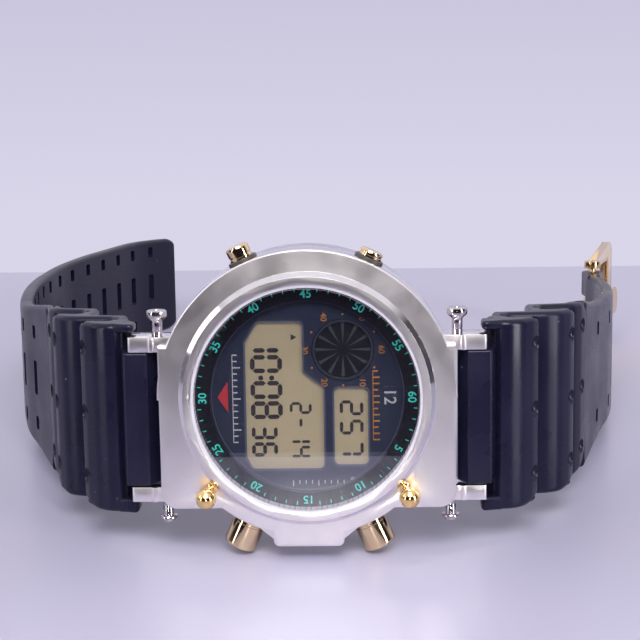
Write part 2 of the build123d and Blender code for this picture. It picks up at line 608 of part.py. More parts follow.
# the battery lies on the board beside the parts, and a sprung clip holds it down
with BuildPart() as battery:
    with BuildSketch(at_depth(BATTERY_BACK)):
        with Locations((BATTERY_X, 0)):
            Circle(BATTERY_RADIUS)
    extrude(amount=BATTERY_THICKNESS)
    fillet(battery.edges().group_by(Axis(FACE.origin, OUT))[0], BATTERY_THICKNESS / 5)
save(battery, "battery")

with BuildPart() as battery_clip:
    clip_reach = BATTERY_RADIUS + LOOSE + CLIP_SHEET
    with BuildSketch(at_height(-BATTERY_CLIP_WIDTH / 2)):
        with Locations((BATTERY_X, BATTERY_BACK + CLIP_SHEET / 2)):
            Rectangle(2 * clip_reach, CLIP_SHEET)
        for side in (-1, 1):
            with Locations((BATTERY_X + side * (clip_reach - CLIP_SHEET / 2),
                            (BOARD_BACK + BATTERY_BACK + CLIP_SHEET) / 2)):
                Rectangle(CLIP_SHEET, BATTERY_THICKNESS + CLIP_SHEET)
    extrude(amount=BATTERY_CLIP_WIDTH)
save(battery_clip, "battery_clip")

with BuildPart() as insulator:
    with BuildSketch(at_depth(SHEET_FRONT + SHEET_THICKNESS)):
        Circle(SHEET_RADIUS)
        with Locations((BUZZER_PIN_X, BUZZER_PIN_UP)):
            Circle(BUZZER_PIN_RADIUS + LOOSE, mode=Mode.SUBTRACT)
    extrude(amount=SHEET_THICKNESS)
save(insulator, "insulator")

with BuildPart() as buzzer_pin:
    with BuildSketch(at_depth(BOARD_BACK)):
        with Locations((BUZZER_PIN_X, BUZZER_PIN_UP)):
            Circle(BUZZER_PIN_RADIUS)
    extrude(amount=-(BODY_DEPTH - BUZZER_THICKNESS - BOARD_BACK))
save(buzzer_pin, "buzzer_pin")

with BuildPart() as buzzer_disc:
    with BuildSketch(at_depth(BODY_DEPTH)):
        Circle(BUZZER_RADIUS)
    extrude(amount=BUZZER_THICKNESS)
save(buzzer_disc, "buzzer_disc")

# ================================================================ case back and its seal
with BuildPart() as case_back:
    with BuildSketch(BACK):
        Circle(BACK_RADIUS)
        with PolarLocations(BACK_RADIUS, BACK_NOTCHES):
            Rectangle(2 * BACK_NOTCH_DEPTH, BACK_NOTCH_WIDTH, mode=Mode.SUBTRACT)
    extrude(amount=BACK_THICKNESS)
    with BuildSketch(at_depth(BODY_DEPTH)):
        Circle(THREAD_RADIUS - RUNNING)
        Circle(THREAD_RADIUS - BACK_WALL, mode=Mode.SUBTRACT)
    extrude(amount=BODY_DEPTH - FRAME_BACK)
save(case_back, "case_back")

with BuildPart() as back_seal:
    with BuildSketch(BESIDE):
        with Locations((BODY_DEPTH - BACK_SEAL_WIRE / 2, BACK_SEAL_RADIUS)):
            Circle(BACK_SEAL_WIRE / 2)
    revolve(axis=Axis(FACE.origin, OUT))
save(back_seal, "back_seal")

# ================================================================ pushers and what carries them
for label, (side, upright, cap_radius, seat, wall, end) in PUSHERS.items():
    with BuildPart() as pusher:
        with BuildSketch(pusher_plane(side, upright, wall - CAP_ENTRY)):
            Circle(cap_radius)
        extrude(amount=end - wall + CAP_ENTRY)
        outward = pusher_plane(side, upright, 0).z_dir
        chamfer(pusher.edges().group_by(Axis((0, 0, 0), outward))[-1], CAP_CHAMFER)
        with BuildSketch(pusher_plane(side, upright, STEM_TIP)):
            Circle(STEM_RADIUS)
        extrude(amount=wall - CAP_ENTRY - STEM_TIP)
    save(pusher, label)

with BuildPart() as pusher_tubes:
    for side, upright, cap_radius, seat, wall, end in PUSHERS.values():
        with BuildSketch(pusher_plane(side, upright, BORE_RADIUS)):
            Circle(TUBE_RADIUS)
            Circle(STEM_RADIUS + RUNNING, mode=Mode.SUBTRACT)
        extrude(amount=seat - SEAL_THICKNESS - BORE_RADIUS)
save(pusher_tubes, "pusher_tubes")

with BuildPart() as pusher_seals:
    for side, upright, cap_radius, seat, wall, end in PUSHERS.values():
        with BuildSketch(pusher_plane(side, upright, seat - SEAL_THICKNESS)):
            Circle(TUBE_RADIUS)
            Circle(STEM_RADIUS + RUNNING / 2, mode=Mode.SUBTRACT)
        extrude(amount=SEAL_THICKNESS)
save(pusher_seals, "pusher_seals")

with BuildPart() as pusher_clips:
    for side, upright, cap_radius, seat, wall, end in PUSHERS.values():
        with BuildSketch(pusher_plane(side, upright, STEM_TIP + CLIP_STEP)):
            Circle(CLIP_RADIUS)
            Circle(STEM_RADIUS, mode=Mode.SUBTRACT)
            with Locations((0, CLIP_RADIUS)):
                Rectangle(STEM_RADIUS, 2 * CLIP_RADIUS, mode=Mode.SUBTRACT)
        extrude(amount=CLIP_THICKNESS)
save(pusher_clips, "pusher_clips")

# the springs are drawn at their pressed length, standing on the counterbores' floors
coils = []
for side, upright, cap_radius, seat, wall, end in PUSHERS.values():
    room = wall - CAP_ENTRY - PUSHER_TRAVEL - seat - RUNNING - SPRING_WIRE
    coil = Helix(pitch=room / SPRING_TURNS, height=room, radius=cap_radius - 2 * SPRING_WIRE)
    coils.append(pusher_plane(side, upright, seat + SPRING_WIRE / 2) * coil)
with BuildPart() as pusher_springs:
    for coil in coils:
        with BuildSketch(Plane(origin=coil @ 0, z_dir=coil % 0)):
            Circle(SPRING_WIRE / 2)
        sweep(path=coil)
save(pusher_springs, "pusher_springs")

# ================================================================ studs, cover screws, spring bars
with BuildPart() as ball_studs:
    for side in (-1, 1):
        neck = neck_plane(side)
        with BuildSketch(neck):
            Circle(NECK_RADIUS)
        extrude(amount=hypot(BALL_X - FOOT_X, BALL_UP - FOOT_UP, BALL_DEPTH - FOOT_DEPTH))
        with Locations(case_point(side * BALL_X, BALL_UP, BALL_DEPTH)):
            Sphere(BALL_RADIUS)
save(ball_studs, "ball_studs")

with BuildPart() as upper_cover_screws:
    low = LUG_TOP + LUG_THICKNESS - SCREW_SOCKET
    shank = SCREW_SOCKET + UPPER_SCREW_PROUD - UPPER_HEAD_HEIGHT
    with BuildSketch(at_height(low)):
        with Locations((UPPER_SCREW_X, SCREW_DEPTH), (-UPPER_SCREW_X, SCREW_DEPTH)):
            Circle(SHANK_RADIUS)
    extrude(amount=shank)
    for side in (-1, 1):
        with BuildSketch(at_height(low + shank)):
            with Locations((side * UPPER_SCREW_X, SCREW_DEPTH)):
                Circle(SHANK_RADIUS)
        with BuildSketch(at_height(low + shank + UPPER_HEAD_HEIGHT * HEAD_CONE)):
            with Locations((side * UPPER_SCREW_X, SCREW_DEPTH)):
                Circle(UPPER_HEAD_RADIUS)
        loft()
    with BuildSketch(at_height(low + shank + UPPER_HEAD_HEIGHT * HEAD_CONE)):
        with Locations((UPPER_SCREW_X, SCREW_DEPTH), (-UPPER_SCREW_X, SCREW_DEPTH)):
            Circle(UPPER_HEAD_RADIUS)
    extrude(amount=UPPER_HEAD_HEIGHT * (1 - HEAD_CONE))
    with BuildSketch(at_height(low + shank + UPPER_HEAD_HEIGHT)):
        with Locations((UPPER_SCREW_X, SCREW_DEPTH), (-UPPER_SCREW_X, SCREW_DEPTH)):
            Rectangle(3 * UPPER_HEAD_RADIUS, SCREW_SLOT)
    extrude(amount=-SCREW_SLOT, mode=Mode.SUBTRACT)
save(upper_cover_screws, "upper_cover_screws")

with BuildPart() as lower_cover_screws:
    high = LUG_LOW - LUG_THICKNESS + SCREW_SOCKET
    shank = SCREW_SOCKET + LOWER_SCREW_PROUD - LOWER_HEAD_HEIGHT
    with BuildSketch(at_height(high)):
        with Locations((LOWER_SCREW_X, SCREW_DEPTH), (-LOWER_SCREW_X, SCREW_DEPTH)):
            Circle(SHANK_RADIUS)
    extrude(amount=-shank)
    with BuildSketch(at_height(high - shank)):
        with Locations((LOWER_SCREW_X, SCREW_DEPTH), (-LOWER_SCREW_X, SCREW_DEPTH)):
            Circle(LOWER_FLANGE_RADIUS)
    extrude(amount=-LOWER_FLANGE)
    with BuildSketch(at_height(high - shank)):
        with Locations((LOWER_SCREW_X, SCREW_DEPTH), (-LOWER_SCREW_X, SCREW_DEPTH)):
            Circle(LOWER_HEAD_RADIUS)
    extrude(amount=-LOWER_HEAD_HEIGHT)
    with BuildSketch(at_height(high - shank - LOWER_HEAD_HEIGHT)):
        with Locations((LOWER_SCREW_X, SCREW_DEPTH), (-LOWER_SCREW_X, SCREW_DEPTH)):
            Rectangle(3 * LOWER_HEAD_RADIUS, SCREW_SLOT)
    extrude(amount=SCREW_SLOT / 2, mode=Mode.SUBTRACT)
save(lower_cover_screws, "lower_cover_screws")

with BuildPart() as spring_bars:
    with BuildSketch(at_height(LUG_LOW + RUNNING)):
        with Locations((BAR_X, BAR_DEPTH), (-BAR_X, BAR_DEPTH)):
            Circle(BAR_RADIUS)
    extrude(amount=LUG_GAP - 2 * RUNNING)
    with BuildSketch(at_height(LUG_LOW - BAR_TIP_LENGTH)):
        with Locations((BAR_X, BAR_DEPTH), (-BAR_X, BAR_DEPTH)):
            Circle(BAR_TIP_RADIUS)
    extrude(amount=LUG_GAP + 2 * BAR_TIP_LENGTH)
save(spring_bars, "spring_bars")


# ================================================================ strap
def at_or_between(table, depth):
    """Value of an edge table at a depth, by straight lines between its rows."""
    for (near, low), (far, high) in zip(table, table[1:]):
        if depth <= far:
            break
    return low + (high - low) * (depth - near) / (far - near)


def inner_path(path, wall):
    """The same path moved towards the wrist by the wall's thickness."""
    moved = []
    for number, (x, depth) in enumerate(path):
        before = path[max(number - 1, 0)]
        after = path[min(number + 1, len(path) - 1)]
        run = hypot(after[0] - before[0], after[1] - before[1])
        moved.append((x - wall * (after[1] - before[1]) / run, depth + wall * (after[0] - before[0]) / run))
    return moved


def place_on(path, depth, side):
    """Point and direction of a band's outer face at a depth, as seen from above the case."""
    for (near_x, near), (far_x, far) in zip(path, path[1:]):
        if depth <= far:
            break
    x = near_x + (far_x - near_x) * (depth - near) / (far - near)
    run = hypot(far_x - near_x, far - near)
    return side * x, (side * (far_x - near_x) / run, (far - near) / run)


def band_plane(path, depth, side, height):
    """Plane on a band's outer face, its normal pointing away from the wrist and y up."""
    x, (along_x, along_depth) = place_on(path, depth, side)
    normal = FACE.x_dir * (side * along_depth) + OUT * (side * along_x)
    return Plane(origin=case_point(x, height, depth), x_dir=UP.cross(normal), z_dir=normal)


def strap_half(side, tuck, path, top, low, vents, slots, row):
    """One half of the strap, from its nose on the spring bar to its free end."""
    def seen(points):
        return [(side * x, depth) for x, depth in points]

    def tucked(points):
        return [(x - tuck * max(0, x - TUCK_START), depth) for x, depth in points]

    outer = tucked(BELLOWS_OUTER)
    path = [outer[-1], *path[1:]]
    inner = inner_path(path, BAND_WALL)
    full = at_height(top[0][1])
    with BuildPart() as half:
        # bellows and band as one ribbon, then trimmed to the strap's edges
        with BuildSketch(full):
            with BuildLine():
                Polyline(*seen(outer))
                Spline(*seen(path))
                Line(seen(path)[-1], seen(inner)[-1])
                Spline(*seen(inner[::-1][:-1]))
                Polyline(seen(inner)[1], *seen(tucked(BELLOWS_INNER[::-1])), seen(outer)[0])
            make_face()
        extrude(amount=low[0][1] - top[0][1])
        with BuildSketch(BESIDE):
            with BuildLine():
                Polyline(*top, *low[::-1], close=True)
            sides = make_face()
            fillet(sides.vertices().group_by(Axis.X)[-1], TIP_FILLET)
        extrude(amount=2 * side * path[-1][1], mode=Mode.INTERSECT)
        # nose between the lugs
        with BuildSketch(at_height(LUG_LOW + LOOSE)):
            with Locations((side * BAR_X, BAR_DEPTH)):
                Circle(NOSE_RADIUS)
            with BuildLine():
                Polyline((side * (BAR_X - NOSE_RADIUS), BAR_DEPTH), *seen(NOSE_FRONT),
                         (side * BELLOWS_OUTER[0][0], WEB_FRONT),
                         (side * BELLOWS_OUTER[0][0], WEB_BACK), (side * BELLOWS_INNER[1][0], WEB_BACK),
                         (side * BAR_X, BAR_DEPTH + NOSE_RADIUS), close=True)
            make_face()
        extrude(amount=LUG_GAP - 2 * LOOSE)
        # ears that reach past the ends of the lugs
        ear_up = LUG_TOP + LUG_THICKNESS + SWING_GAP
        ear_low = LUG_LOW - LUG_THICKNESS - SWING_GAP
        for near, far in ((ear_up, top[0][1]), (ear_low, low[0][1])):
            with BuildSketch(at_height(near)):
                with Locations((side * (EAR_INNER_X + BELLOWS_OUTER[0][0]) / 2, (EAR_FRONT + EAR_BACK) / 2)):
                    ear = Rectangle(BELLOWS_OUTER[0][0] - EAR_INNER_X, EAR_BACK - EAR_FRONT)
                fillet(ear.vertices(), LUG_ROUND)
            extrude(amount=far - near)
        with BuildSketch(full):
            with Locations((side * BAR_X, BAR_DEPTH)):
                Circle(BAR_RADIUS + RUNNING)
        extrude(amount=low[0][1] - top[0][1], mode=Mode.SUBTRACT)
        # dimples on the slope of every ridge
        for first, last in SLOPES:
            ridge = (outer[first], outer[last])
            middle = ridge[0][1] + DIMPLE_PLACE * (ridge[1][1] - ridge[0][1])
            with BuildSketch(band_plane(ridge, middle, side, LUG_MIDDLE)):
                with GridLocations(DIMPLE_PITCH, DIMPLE_PITCH, 1, 3):
                    Circle(DIMPLE_RADIUS)
            extrude(amount=-DIMPLE_DEPTH, mode=Mode.SUBTRACT)
        # vents
        for depth in vents:
            middle = (at_or_between(top, depth) + at_or_between(low, depth)) / 2
            with BuildSketch(band_plane(path, depth, side, middle)):
                with GridLocations(row, 2 * row, 1, 2):
                    Rectangle(*VENT)
                if slots:
                    Rectangle(*SLOT)
            extrude(amount=2 * BAND_WALL, both=True, mode=Mode.SUBTRACT)
    return half


LONG_VENTS = [LONG_FIRST + (LONG_LAST - LONG_FIRST) * number / (LONG_COLUMNS - 1)
              for number in range(LONG_COLUMNS)]
long_half = strap_half(-1, LONG_TUCK, LONG_PATH, LONG_TOP, LONG_LOW, LONG_VENTS, True, VENT_ROW)
with BuildPart() as strap_long:
    add(long_half.part)
    # groove across the tip
    with BuildSketch(band_plane(LONG_PATH, TIP_GROOVE, -1, 0)):
        Rectangle(2 * TIP_GROOVE_SIZE, 3 * LUG_GAP)
    extrude(amount=-TIP_GROOVE_SIZE, mode=Mode.SUBTRACT)
save(strap_long, "strap_long")

short_half = strap_half(1, 0, SHORT_PATH, SHORT_TOP, SHORT_LOW, SHORT_VENTS, False, SHORT_VENT_ROW)
with BuildPart() as strap_short:
    add(short_half.part)
    # loop that holds the buckle's pin, with room for the tongue
    with BuildSketch(at_height(PIN_UP - LOOP_WIDTH / 2)):
        with Locations((PIN_X, PIN_DEPTH)):
            Circle(LOOP_RADIUS)
        with BuildLine():
            Polyline((PIN_X + LOOP_RADIUS, PIN_DEPTH), SHORT_PATH[-1],
                     inner_path(SHORT_PATH, BAND_WALL)[-1], (PIN_X - LOOP_RADIUS, PIN_DEPTH), close=True)
        make_face()
    extrude(amount=LOOP_WIDTH)
    with BuildSketch(at_height(PIN_UP - LOOP_WIDTH / 2)):
        with Locations((PIN_X, PIN_DEPTH)):
            Circle(PIN_RADIUS + RUNNING)
    extrude(amount=LOOP_WIDTH, mode=Mode.SUBTRACT)
    with BuildSketch(at_height(PIN_UP - TONGUE_WIDTH / 2 - TONGUE_ROOM)):
        with Locations((PIN_X, PIN_DEPTH)):
            Circle(TONGUE_SWEEP)
    extrude(amount=TONGUE_WIDTH + 2 * TONGUE_ROOM, mode=Mode.SUBTRACT)
save(strap_short, "strap_short")

# ================================================================ buckle
PIN = case_point(PIN_X, PIN_UP, PIN_DEPTH)


def buckle_direction(turn):
    """Direction that lies this far outwards from straight back."""
    return FACE.x_dir * sin(radians(turn)) - OUT * cos(radians(turn))


def buckle_plane(turn):
    """Plane through the pin; sketch x runs along the buckle and y up, the normal faces outwards."""
    along = buckle_direction(turn)
    return Plane(origin=PIN, x_dir=along, z_dir=along.cross(UP))


FRAME_PLANE = buckle_plane(BUCKLE_TURN)
with BuildPart() as buckle_frame:
    with BuildSketch(FRAME_PLANE.shift_origin(PIN + UP * BUCKLE_OFFSET)):
        with BuildLine():
            Polyline((0, BUCKLE_NARROW / 2), (BUCKLE_LENGTH, BUCKLE_WIDTH / 2),
                     (BUCKLE_LENGTH, -BUCKLE_WIDTH / 2), (0, -BUCKLE_NARROW / 2), close=True)
        plate = make_face()
        fillet(plate.vertices().group_by(Axis.X)[-1], END_FILLET)
        with BuildLine():
            Polyline((-EYE_RADIUS, WINDOW_NEAR / 2), (BUCKLE_LENGTH - END_PLATE, WINDOW_FAR / 2),
                     (BUCKLE_LENGTH - END_PLATE, -WINDOW_FAR / 2), (-EYE_RADIUS, -WINDOW_NEAR / 2), close=True)
        make_face(mode=Mode.SUBTRACT)
    extrude(amount=BUCKLE_THICKNESS / 2, both=True)
    for rise in (-1, 1):
        inner = PIN + UP * (BUCKLE_OFFSET + rise * WINDOW_NEAR / 2)
        with BuildSketch(Plane(origin=inner, x_dir=(1, 0, 0), z_dir=UP * rise)):
            Circle(EYE_RADIUS)
        extrude(amount=(BUCKLE_NARROW - WINDOW_NEAR) / 2)
    with BuildSketch(Plane(origin=PIN - UP * BUCKLE_WIDTH, x_dir=(1, 0, 0), z_dir=UP)):
        Circle(PIN_RADIUS)
    extrude(amount=2 * BUCKLE_WIDTH, mode=Mode.SUBTRACT)
save(buckle_frame, "buckle_frame")

with BuildPart() as buckle_pin:
    with BuildSketch(Plane(origin=PIN + UP * (BUCKLE_OFFSET - BUCKLE_NARROW / 2), x_dir=(1, 0, 0), z_dir=UP)):
        Circle(PIN_RADIUS)
    extrude(amount=BUCKLE_NARROW)
save(buckle_pin, "buckle_pin")

with BuildPart() as buckle_tongue:
    with BuildSketch(buckle_plane(BUCKLE_TURN + TONGUE_TURN)):
        with Locations((TONGUE_LENGTH / 2, 0)):
            blade = Rectangle(TONGUE_LENGTH, TONGUE_WIDTH)
        fillet(blade.vertices().group_by(Axis.X)[-1], TONGUE_WIDTH / 3)
    extrude(amount=TONGUE_THICKNESS / 2, both=True)
    with BuildSketch(Plane(origin=PIN - UP * TONGUE_WIDTH / 2, x_dir=(1, 0, 0), z_dir=UP)):
        Circle(EYE_RADIUS)
    extrude(amount=TONGUE_WIDTH)
    with BuildSketch(Plane(origin=PIN - UP * TONGUE_WIDTH, x_dir=(1, 0, 0), z_dir=UP)):
        Circle(PIN_RADIUS + RUNNING)
    extrude(amount=2 * TONGUE_WIDTH, mode=Mode.SUBTRACT)
save(buckle_tongue, "buckle_tongue")
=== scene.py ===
# %% [markdown]
# # A digital dive watch standing on its side
#
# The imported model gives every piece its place, and this script dresses it. Shapes that need
# soft edges or fine print are built here from short formulas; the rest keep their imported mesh
# and get a better material.

# %% Frame
import json
import math

import bmesh
import bpy
import numpy as np
from mathutils import Matrix, Vector
from mathutils.geometry import tessellate_polygon


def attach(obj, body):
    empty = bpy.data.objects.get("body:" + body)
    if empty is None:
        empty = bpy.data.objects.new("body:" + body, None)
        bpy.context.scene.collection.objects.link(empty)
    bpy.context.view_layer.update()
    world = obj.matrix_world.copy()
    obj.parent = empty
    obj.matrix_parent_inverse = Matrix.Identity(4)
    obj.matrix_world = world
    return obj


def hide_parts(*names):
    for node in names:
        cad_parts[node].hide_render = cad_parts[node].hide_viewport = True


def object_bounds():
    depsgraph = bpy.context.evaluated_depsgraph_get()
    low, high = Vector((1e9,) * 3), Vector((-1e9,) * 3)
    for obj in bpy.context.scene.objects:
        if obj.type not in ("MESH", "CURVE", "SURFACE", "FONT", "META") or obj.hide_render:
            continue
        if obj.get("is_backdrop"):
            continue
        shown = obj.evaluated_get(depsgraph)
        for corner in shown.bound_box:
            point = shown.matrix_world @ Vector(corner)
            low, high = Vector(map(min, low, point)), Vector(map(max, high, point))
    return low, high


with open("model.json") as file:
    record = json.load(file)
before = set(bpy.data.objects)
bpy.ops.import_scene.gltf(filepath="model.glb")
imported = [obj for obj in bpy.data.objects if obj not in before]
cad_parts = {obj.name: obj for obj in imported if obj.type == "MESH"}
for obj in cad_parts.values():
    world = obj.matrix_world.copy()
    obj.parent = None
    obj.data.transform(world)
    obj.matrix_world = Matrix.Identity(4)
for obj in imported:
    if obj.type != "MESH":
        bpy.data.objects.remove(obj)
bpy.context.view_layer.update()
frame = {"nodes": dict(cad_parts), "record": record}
NODES = frame["nodes"]

# %% [markdown]
# Everything on the case is written in the case's own terms, in millimetres: x to the twelve
# o'clock side, y up to the nine o'clock side, z out of the glass. The case leans back, and the
# direction that its back faces is recorded on the model's first mount.

# %% Case coordinates
MM = 0.001
THICKNESS = 12.4
BACKWARD = Vector(frame["record"]["mounts"][0]["axis"]).normalized()
OUT = -BACKWARD
SIDE = Vector((1, 0, 0))
UP = OUT.cross(SIDE)
CASE = Matrix.Translation(OUT * THICKNESS * MM) @ Matrix((SIDE, UP, OUT)).transposed().to_4x4()


def placed(points):
    """Case coordinates in mm to row coordinates in m: R p / 1000 + t, with R's columns SIDE, UP, OUT."""
    turn = np.array(CASE.to_3x3())
    return np.asarray(points, float) @ turn.T * MM + np.array(CASE.translation)


# %% [markdown]
# ## Tools
#
# Blender makes a mesh from points and faces, and an object shows it. A piece built from a formula
# goes through the same few steps each time: merge doubles, turn the faces outwards, smooth what is
# not an edge, give it a material, and let it ride on the body that carries it.

# %% Mesh tools
def added(name, data):
    """New object in the scene that shows a mesh, lamp, camera or text."""
    thing = bpy.data.objects.new(name, data)
    bpy.context.scene.collection.objects.link(thing)
    return thing


def sealed(name, points, faces):
    """Mesh from points in case mm, its doubles merged and its faces turned outwards."""
    mesh = bpy.data.meshes.new(name)
    mesh.from_pydata(placed(points).tolist(), [], [tuple(int(i) for i in f) for f in faces])
    mesh.validate()
    shape = bmesh.new()
    shape.from_mesh(mesh)
    bmesh.ops.remove_doubles(shape, verts=shape.verts, dist=1e-7)
    bmesh.ops.recalc_face_normals(shape, faces=shape.faces)
    shape.to_mesh(mesh)
    shape.free()
    return mesh


def smoothed(mesh, angle):
    """Smooth shading, except over edges sharper than an angle in degrees."""
    mesh.shade_smooth()
    mesh.set_sharp_from_angle(angle=math.radians(angle))


def dress(name, mesh, body, material, replaces=()):
    """Object for a finished mesh, riding on its body and standing for the nodes it replaces."""
    piece = added(name, mesh)
    mesh.materials.clear()
    mesh.materials.append(material)
    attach(piece, body)
    if replaces:
        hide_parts(*replaces)
    return piece


def finish_mesh(name, points, faces, body, material, smooth=40.0, replaces=()):
    """Sealed and smoothed piece on a body, from points in case mm."""
    mesh = sealed(name, points, faces)
    smoothed(mesh, smooth)
    return dress(name, mesh, body, material, replaces)


def bands(rows, size):
    """Quads that join each row of points to the next one, where every row is a closed ring of a size."""
    return [(r * size + i, r * size + (i + 1) % size, (r + 1) * size + (i + 1) % size, (r + 1) * size + i)
            for r in range(rows - 1) for i in range(size)]


def revolved(profile, steps=96):
    """Turn (radius, z) pairs about the case's axis: point (r cos a, r sin a, z) for each angle a."""
    profile = np.array(profile, float)
    angle = np.linspace(0, 2 * np.pi, steps, endpoint=False)
    radius, height = profile[:, 0][:, None], profile[:, 1][:, None]
    grid = np.stack([radius * np.cos(angle), radius * np.sin(angle), height + 0 * angle], axis=-1)
    return grid.reshape(-1, 3), bands(len(profile), steps)


def moved(points, origin, direction):
    """Points built about +z, moved so that +z runs along a direction from an origin, in case mm."""
    turn = np.array(Vector(direction).to_track_quat("Z", "Y").to_matrix())
    return np.asarray(points) @ turn.T + np.array(origin)


def joined(*parts):
    """Several (points, faces) pairs as one."""
    points, faces, start = [], [], 0
    for some_points, some_faces in parts:
        points.append(np.asarray(some_points, float))
        faces += [tuple(i + start for i in f) for f in some_faces]
        start += len(some_points)
    return np.concatenate(points), faces


def softened(node, width, segments=2, sharp=math.radians(28)):
    """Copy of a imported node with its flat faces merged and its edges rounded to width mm."""
    mesh = NODES[node].data.copy()
    shape = bmesh.new()
    shape.from_mesh(mesh)
    bmesh.ops.remove_doubles(shape, verts=shape.verts, dist=2e-7)
    bmesh.ops.dissolve_limit(shape, angle_limit=math.radians(0.6), verts=shape.verts, edges=shape.edges)
    edges = [edge for edge in shape.edges if len(edge.link_faces) == 2 and edge.calc_face_angle(0) > sharp]
    bmesh.ops.bevel(shape, geom=edges, offset=width * MM, offset_type="OFFSET", segments=segments,
                    profile=0.5, affect="EDGES", clamp_overlap=True)
    shape.to_mesh(mesh)
    shape.free()
    smoothed(mesh, 35)
    return mesh


def beside_run(run):
    """Unit vectors a quarter turn to the left of each (x, y) direction."""
    run = run / np.maximum(np.hypot(*run.T), 1e-9)[:, None]
    return np.column_stack([-run[:, 1], run[:, 0]])


def chords(outline):
    """For each point of a closed outline, the way from the point before it to the point after it."""
    return np.roll(outline, -1, axis=0) - np.roll(outline, 1, axis=0)


def rounded(corners, radii, steps=6):
    """Round each corner P by the curve (1-t)^2 A + 2t(1-t) P + t^2 B, A and B on its sides."""
    corners = np.array(corners, float)
    rows = []
    for number, radius in enumerate(radii):
        here, before = corners[number], corners[number - 1]
        after = corners[(number + 1) % len(corners)]
        if not radius:
            rows.append(here[None])
            continue
        back, ahead = before - here, after - here
        long_back, long_ahead = np.hypot(*back), np.hypot(*ahead)
        back, ahead = back / long_back, ahead / long_ahead
        half = math.acos(np.clip(back @ ahead, -1, 1)) / 2
        run = min(radius / math.tan(half), 0.48 * long_back, 0.48 * long_ahead)
        start, end = here + back * run, here + ahead * run
        t = np.linspace(0, 1, steps)[:, None]
        rows.append((1 - t) ** 2 * start + 2 * t * (1 - t) * here + t ** 2 * end)
    return np.vstack(rows)


# %% [markdown]
# ## Materials
#
# Each material is a small graph. Blender's nodes could be added and linked one by one, but then a
# recipe is hard to read. So one class wraps a socket, which lets it be scaled, raised to a power
# or ramped as if it were a number, and one method adds any node with its settings and its sockets.

# %% Shader graph tools
class Socket:
    """A shader output that can be combined with numbers and other outputs."""

    def __init__(self, graph, output):
        self.graph, self.output = graph, output

    def __mul__(self, other):
        return self.graph.node("Math", {0: self, 1: other}, operation="MULTIPLY")

    __rmul__ = __mul__

    def __pow__(self, other):
        return self.graph.node("Math", {0: self, 1: other}, operation="POWER")

    def ramp(self, low, high, start=0.0, end=1.0):
        """start at low, end at high, straight between and level outside."""
        return self.graph.node("MapRange", {0: self, 1: low, 2: high, 3: start, 4: end})


class Graph:
    """A shader graph that makes every node with one method."""

    def __init__(self, tree):
        self.tree = tree

    def node(self, kind, sockets=(), out=0, **settings):
        """Add a node: first its settings, then a value or a link for each socket. Gives its output."""
        made = self.tree.nodes.new("ShaderNode" + kind)
        for name, setting in settings.items():
            setattr(made, name, setting)
        for name, value in dict(sockets).items():
            socket = made.inputs[name]
            if isinstance(value, Socket):
                self.tree.links.new(value.output, socket)
            else:
                socket.default_value = (*value, 1) if socket.type == "RGBA" else value
        return Socket(self, made.outputs[out])

    def mix(self, factor, first, second):
        """The first colour where the factor is 0, the second where it is 1."""
        return self.node("Mix", {0: factor, 6: first, 7: second}, out=2, data_type="RGBA")

    def graded(self, factor, stops):
        """Colour ramp with (place, colour) stops, read at a factor."""
        colours = self.node("ValToRGB", {0: factor})
        elements = colours.output.node.color_ramp.elements
        while len(elements) < len(stops):
            elements.new(1.0)
        for element, (place, colour) in zip(elements, stops):
            element.position, element.color = place, (*colour, 1)
        return colours


class Paint(Graph):
    """A Principled material with helpers for noise and bump."""

    def __init__(self, name, colour, metallic=0.0, roughness=0.5, specular=0.5):
        self.material = bpy.data.materials.new(name)
        self.material.use_nodes = True
        super().__init__(self.material.node_tree)
        self.base = self.tree.nodes["Principled BSDF"]
        self.base.inputs["Base Color"].default_value = (*colour, 1)
        self.base.inputs["Metallic"].default_value = metallic
        self.base.inputs["Roughness"].default_value = roughness
        self.base.inputs["Specular IOR Level"].default_value = specular

    def place(self):
        """Where a point of the surface lies on its own object, in metres."""
        return self.node("TexCoord", out="Object")

    def noise(self, scale, detail=3.0, rough=0.5):
        """Soft cloud with a scale in turns per metre."""
        return self.node("TexNoise", {"Vector": self.place(), "Scale": scale, "Detail": detail,
                                      "Roughness": rough}, out="Fac")

    def cells(self, scale):
        """Distance to the nearest of scattered points, scale of them to the metre."""
        return self.node("TexVoronoi", {"Vector": self.place(), "Scale": scale}, out="Distance")

    def feed(self, socket, value):
        """Let a value drive one of the material's main sockets."""
        self.tree.links.new(value.output, self.base.inputs[socket])

    def bump(self, height, distance, strength):
        """Tilt the surface by a height whose full step is a distance in metres."""
        self.feed("Normal", self.node("Bump", {"Height": height, "Distance": distance, "Strength": strength}))


# %% [markdown]
# The case was blasted with grit and its sides were polished on a wheel. Blasted steel is a rough
# metal with a fine grain and slightly darker clouds. Polished steel is nearly a mirror, and its
# swirls and rubbed spots come from two noises of different size. An image could hold such wear,
# but noise on Object coordinates needs no unwrapping and has no seams.

# %% Metals
def shaded(colour, share):
    """The colour times a share, no channel above 1."""
    return tuple(min(1, channel * share) for channel in colour)


def blasted(name, colour, roughness):
    """Rough metal with a grain of 0.02 mm."""
    paint = Paint(name, colour, metallic=1.0, roughness=roughness)
    grain = paint.noise(9000, 2.0)
    cloud = paint.noise(160, 4.0)
    paint.feed("Roughness", cloud.ramp(0.3, 0.7, roughness - 0.05, roughness + 0.07))
    paint.feed("Base Color", paint.mix(cloud.ramp(0.35, 0.75), colour, shaded(colour, 0.88)))
    paint.bump(grain, 0.00002, 0.35)
    return paint.material


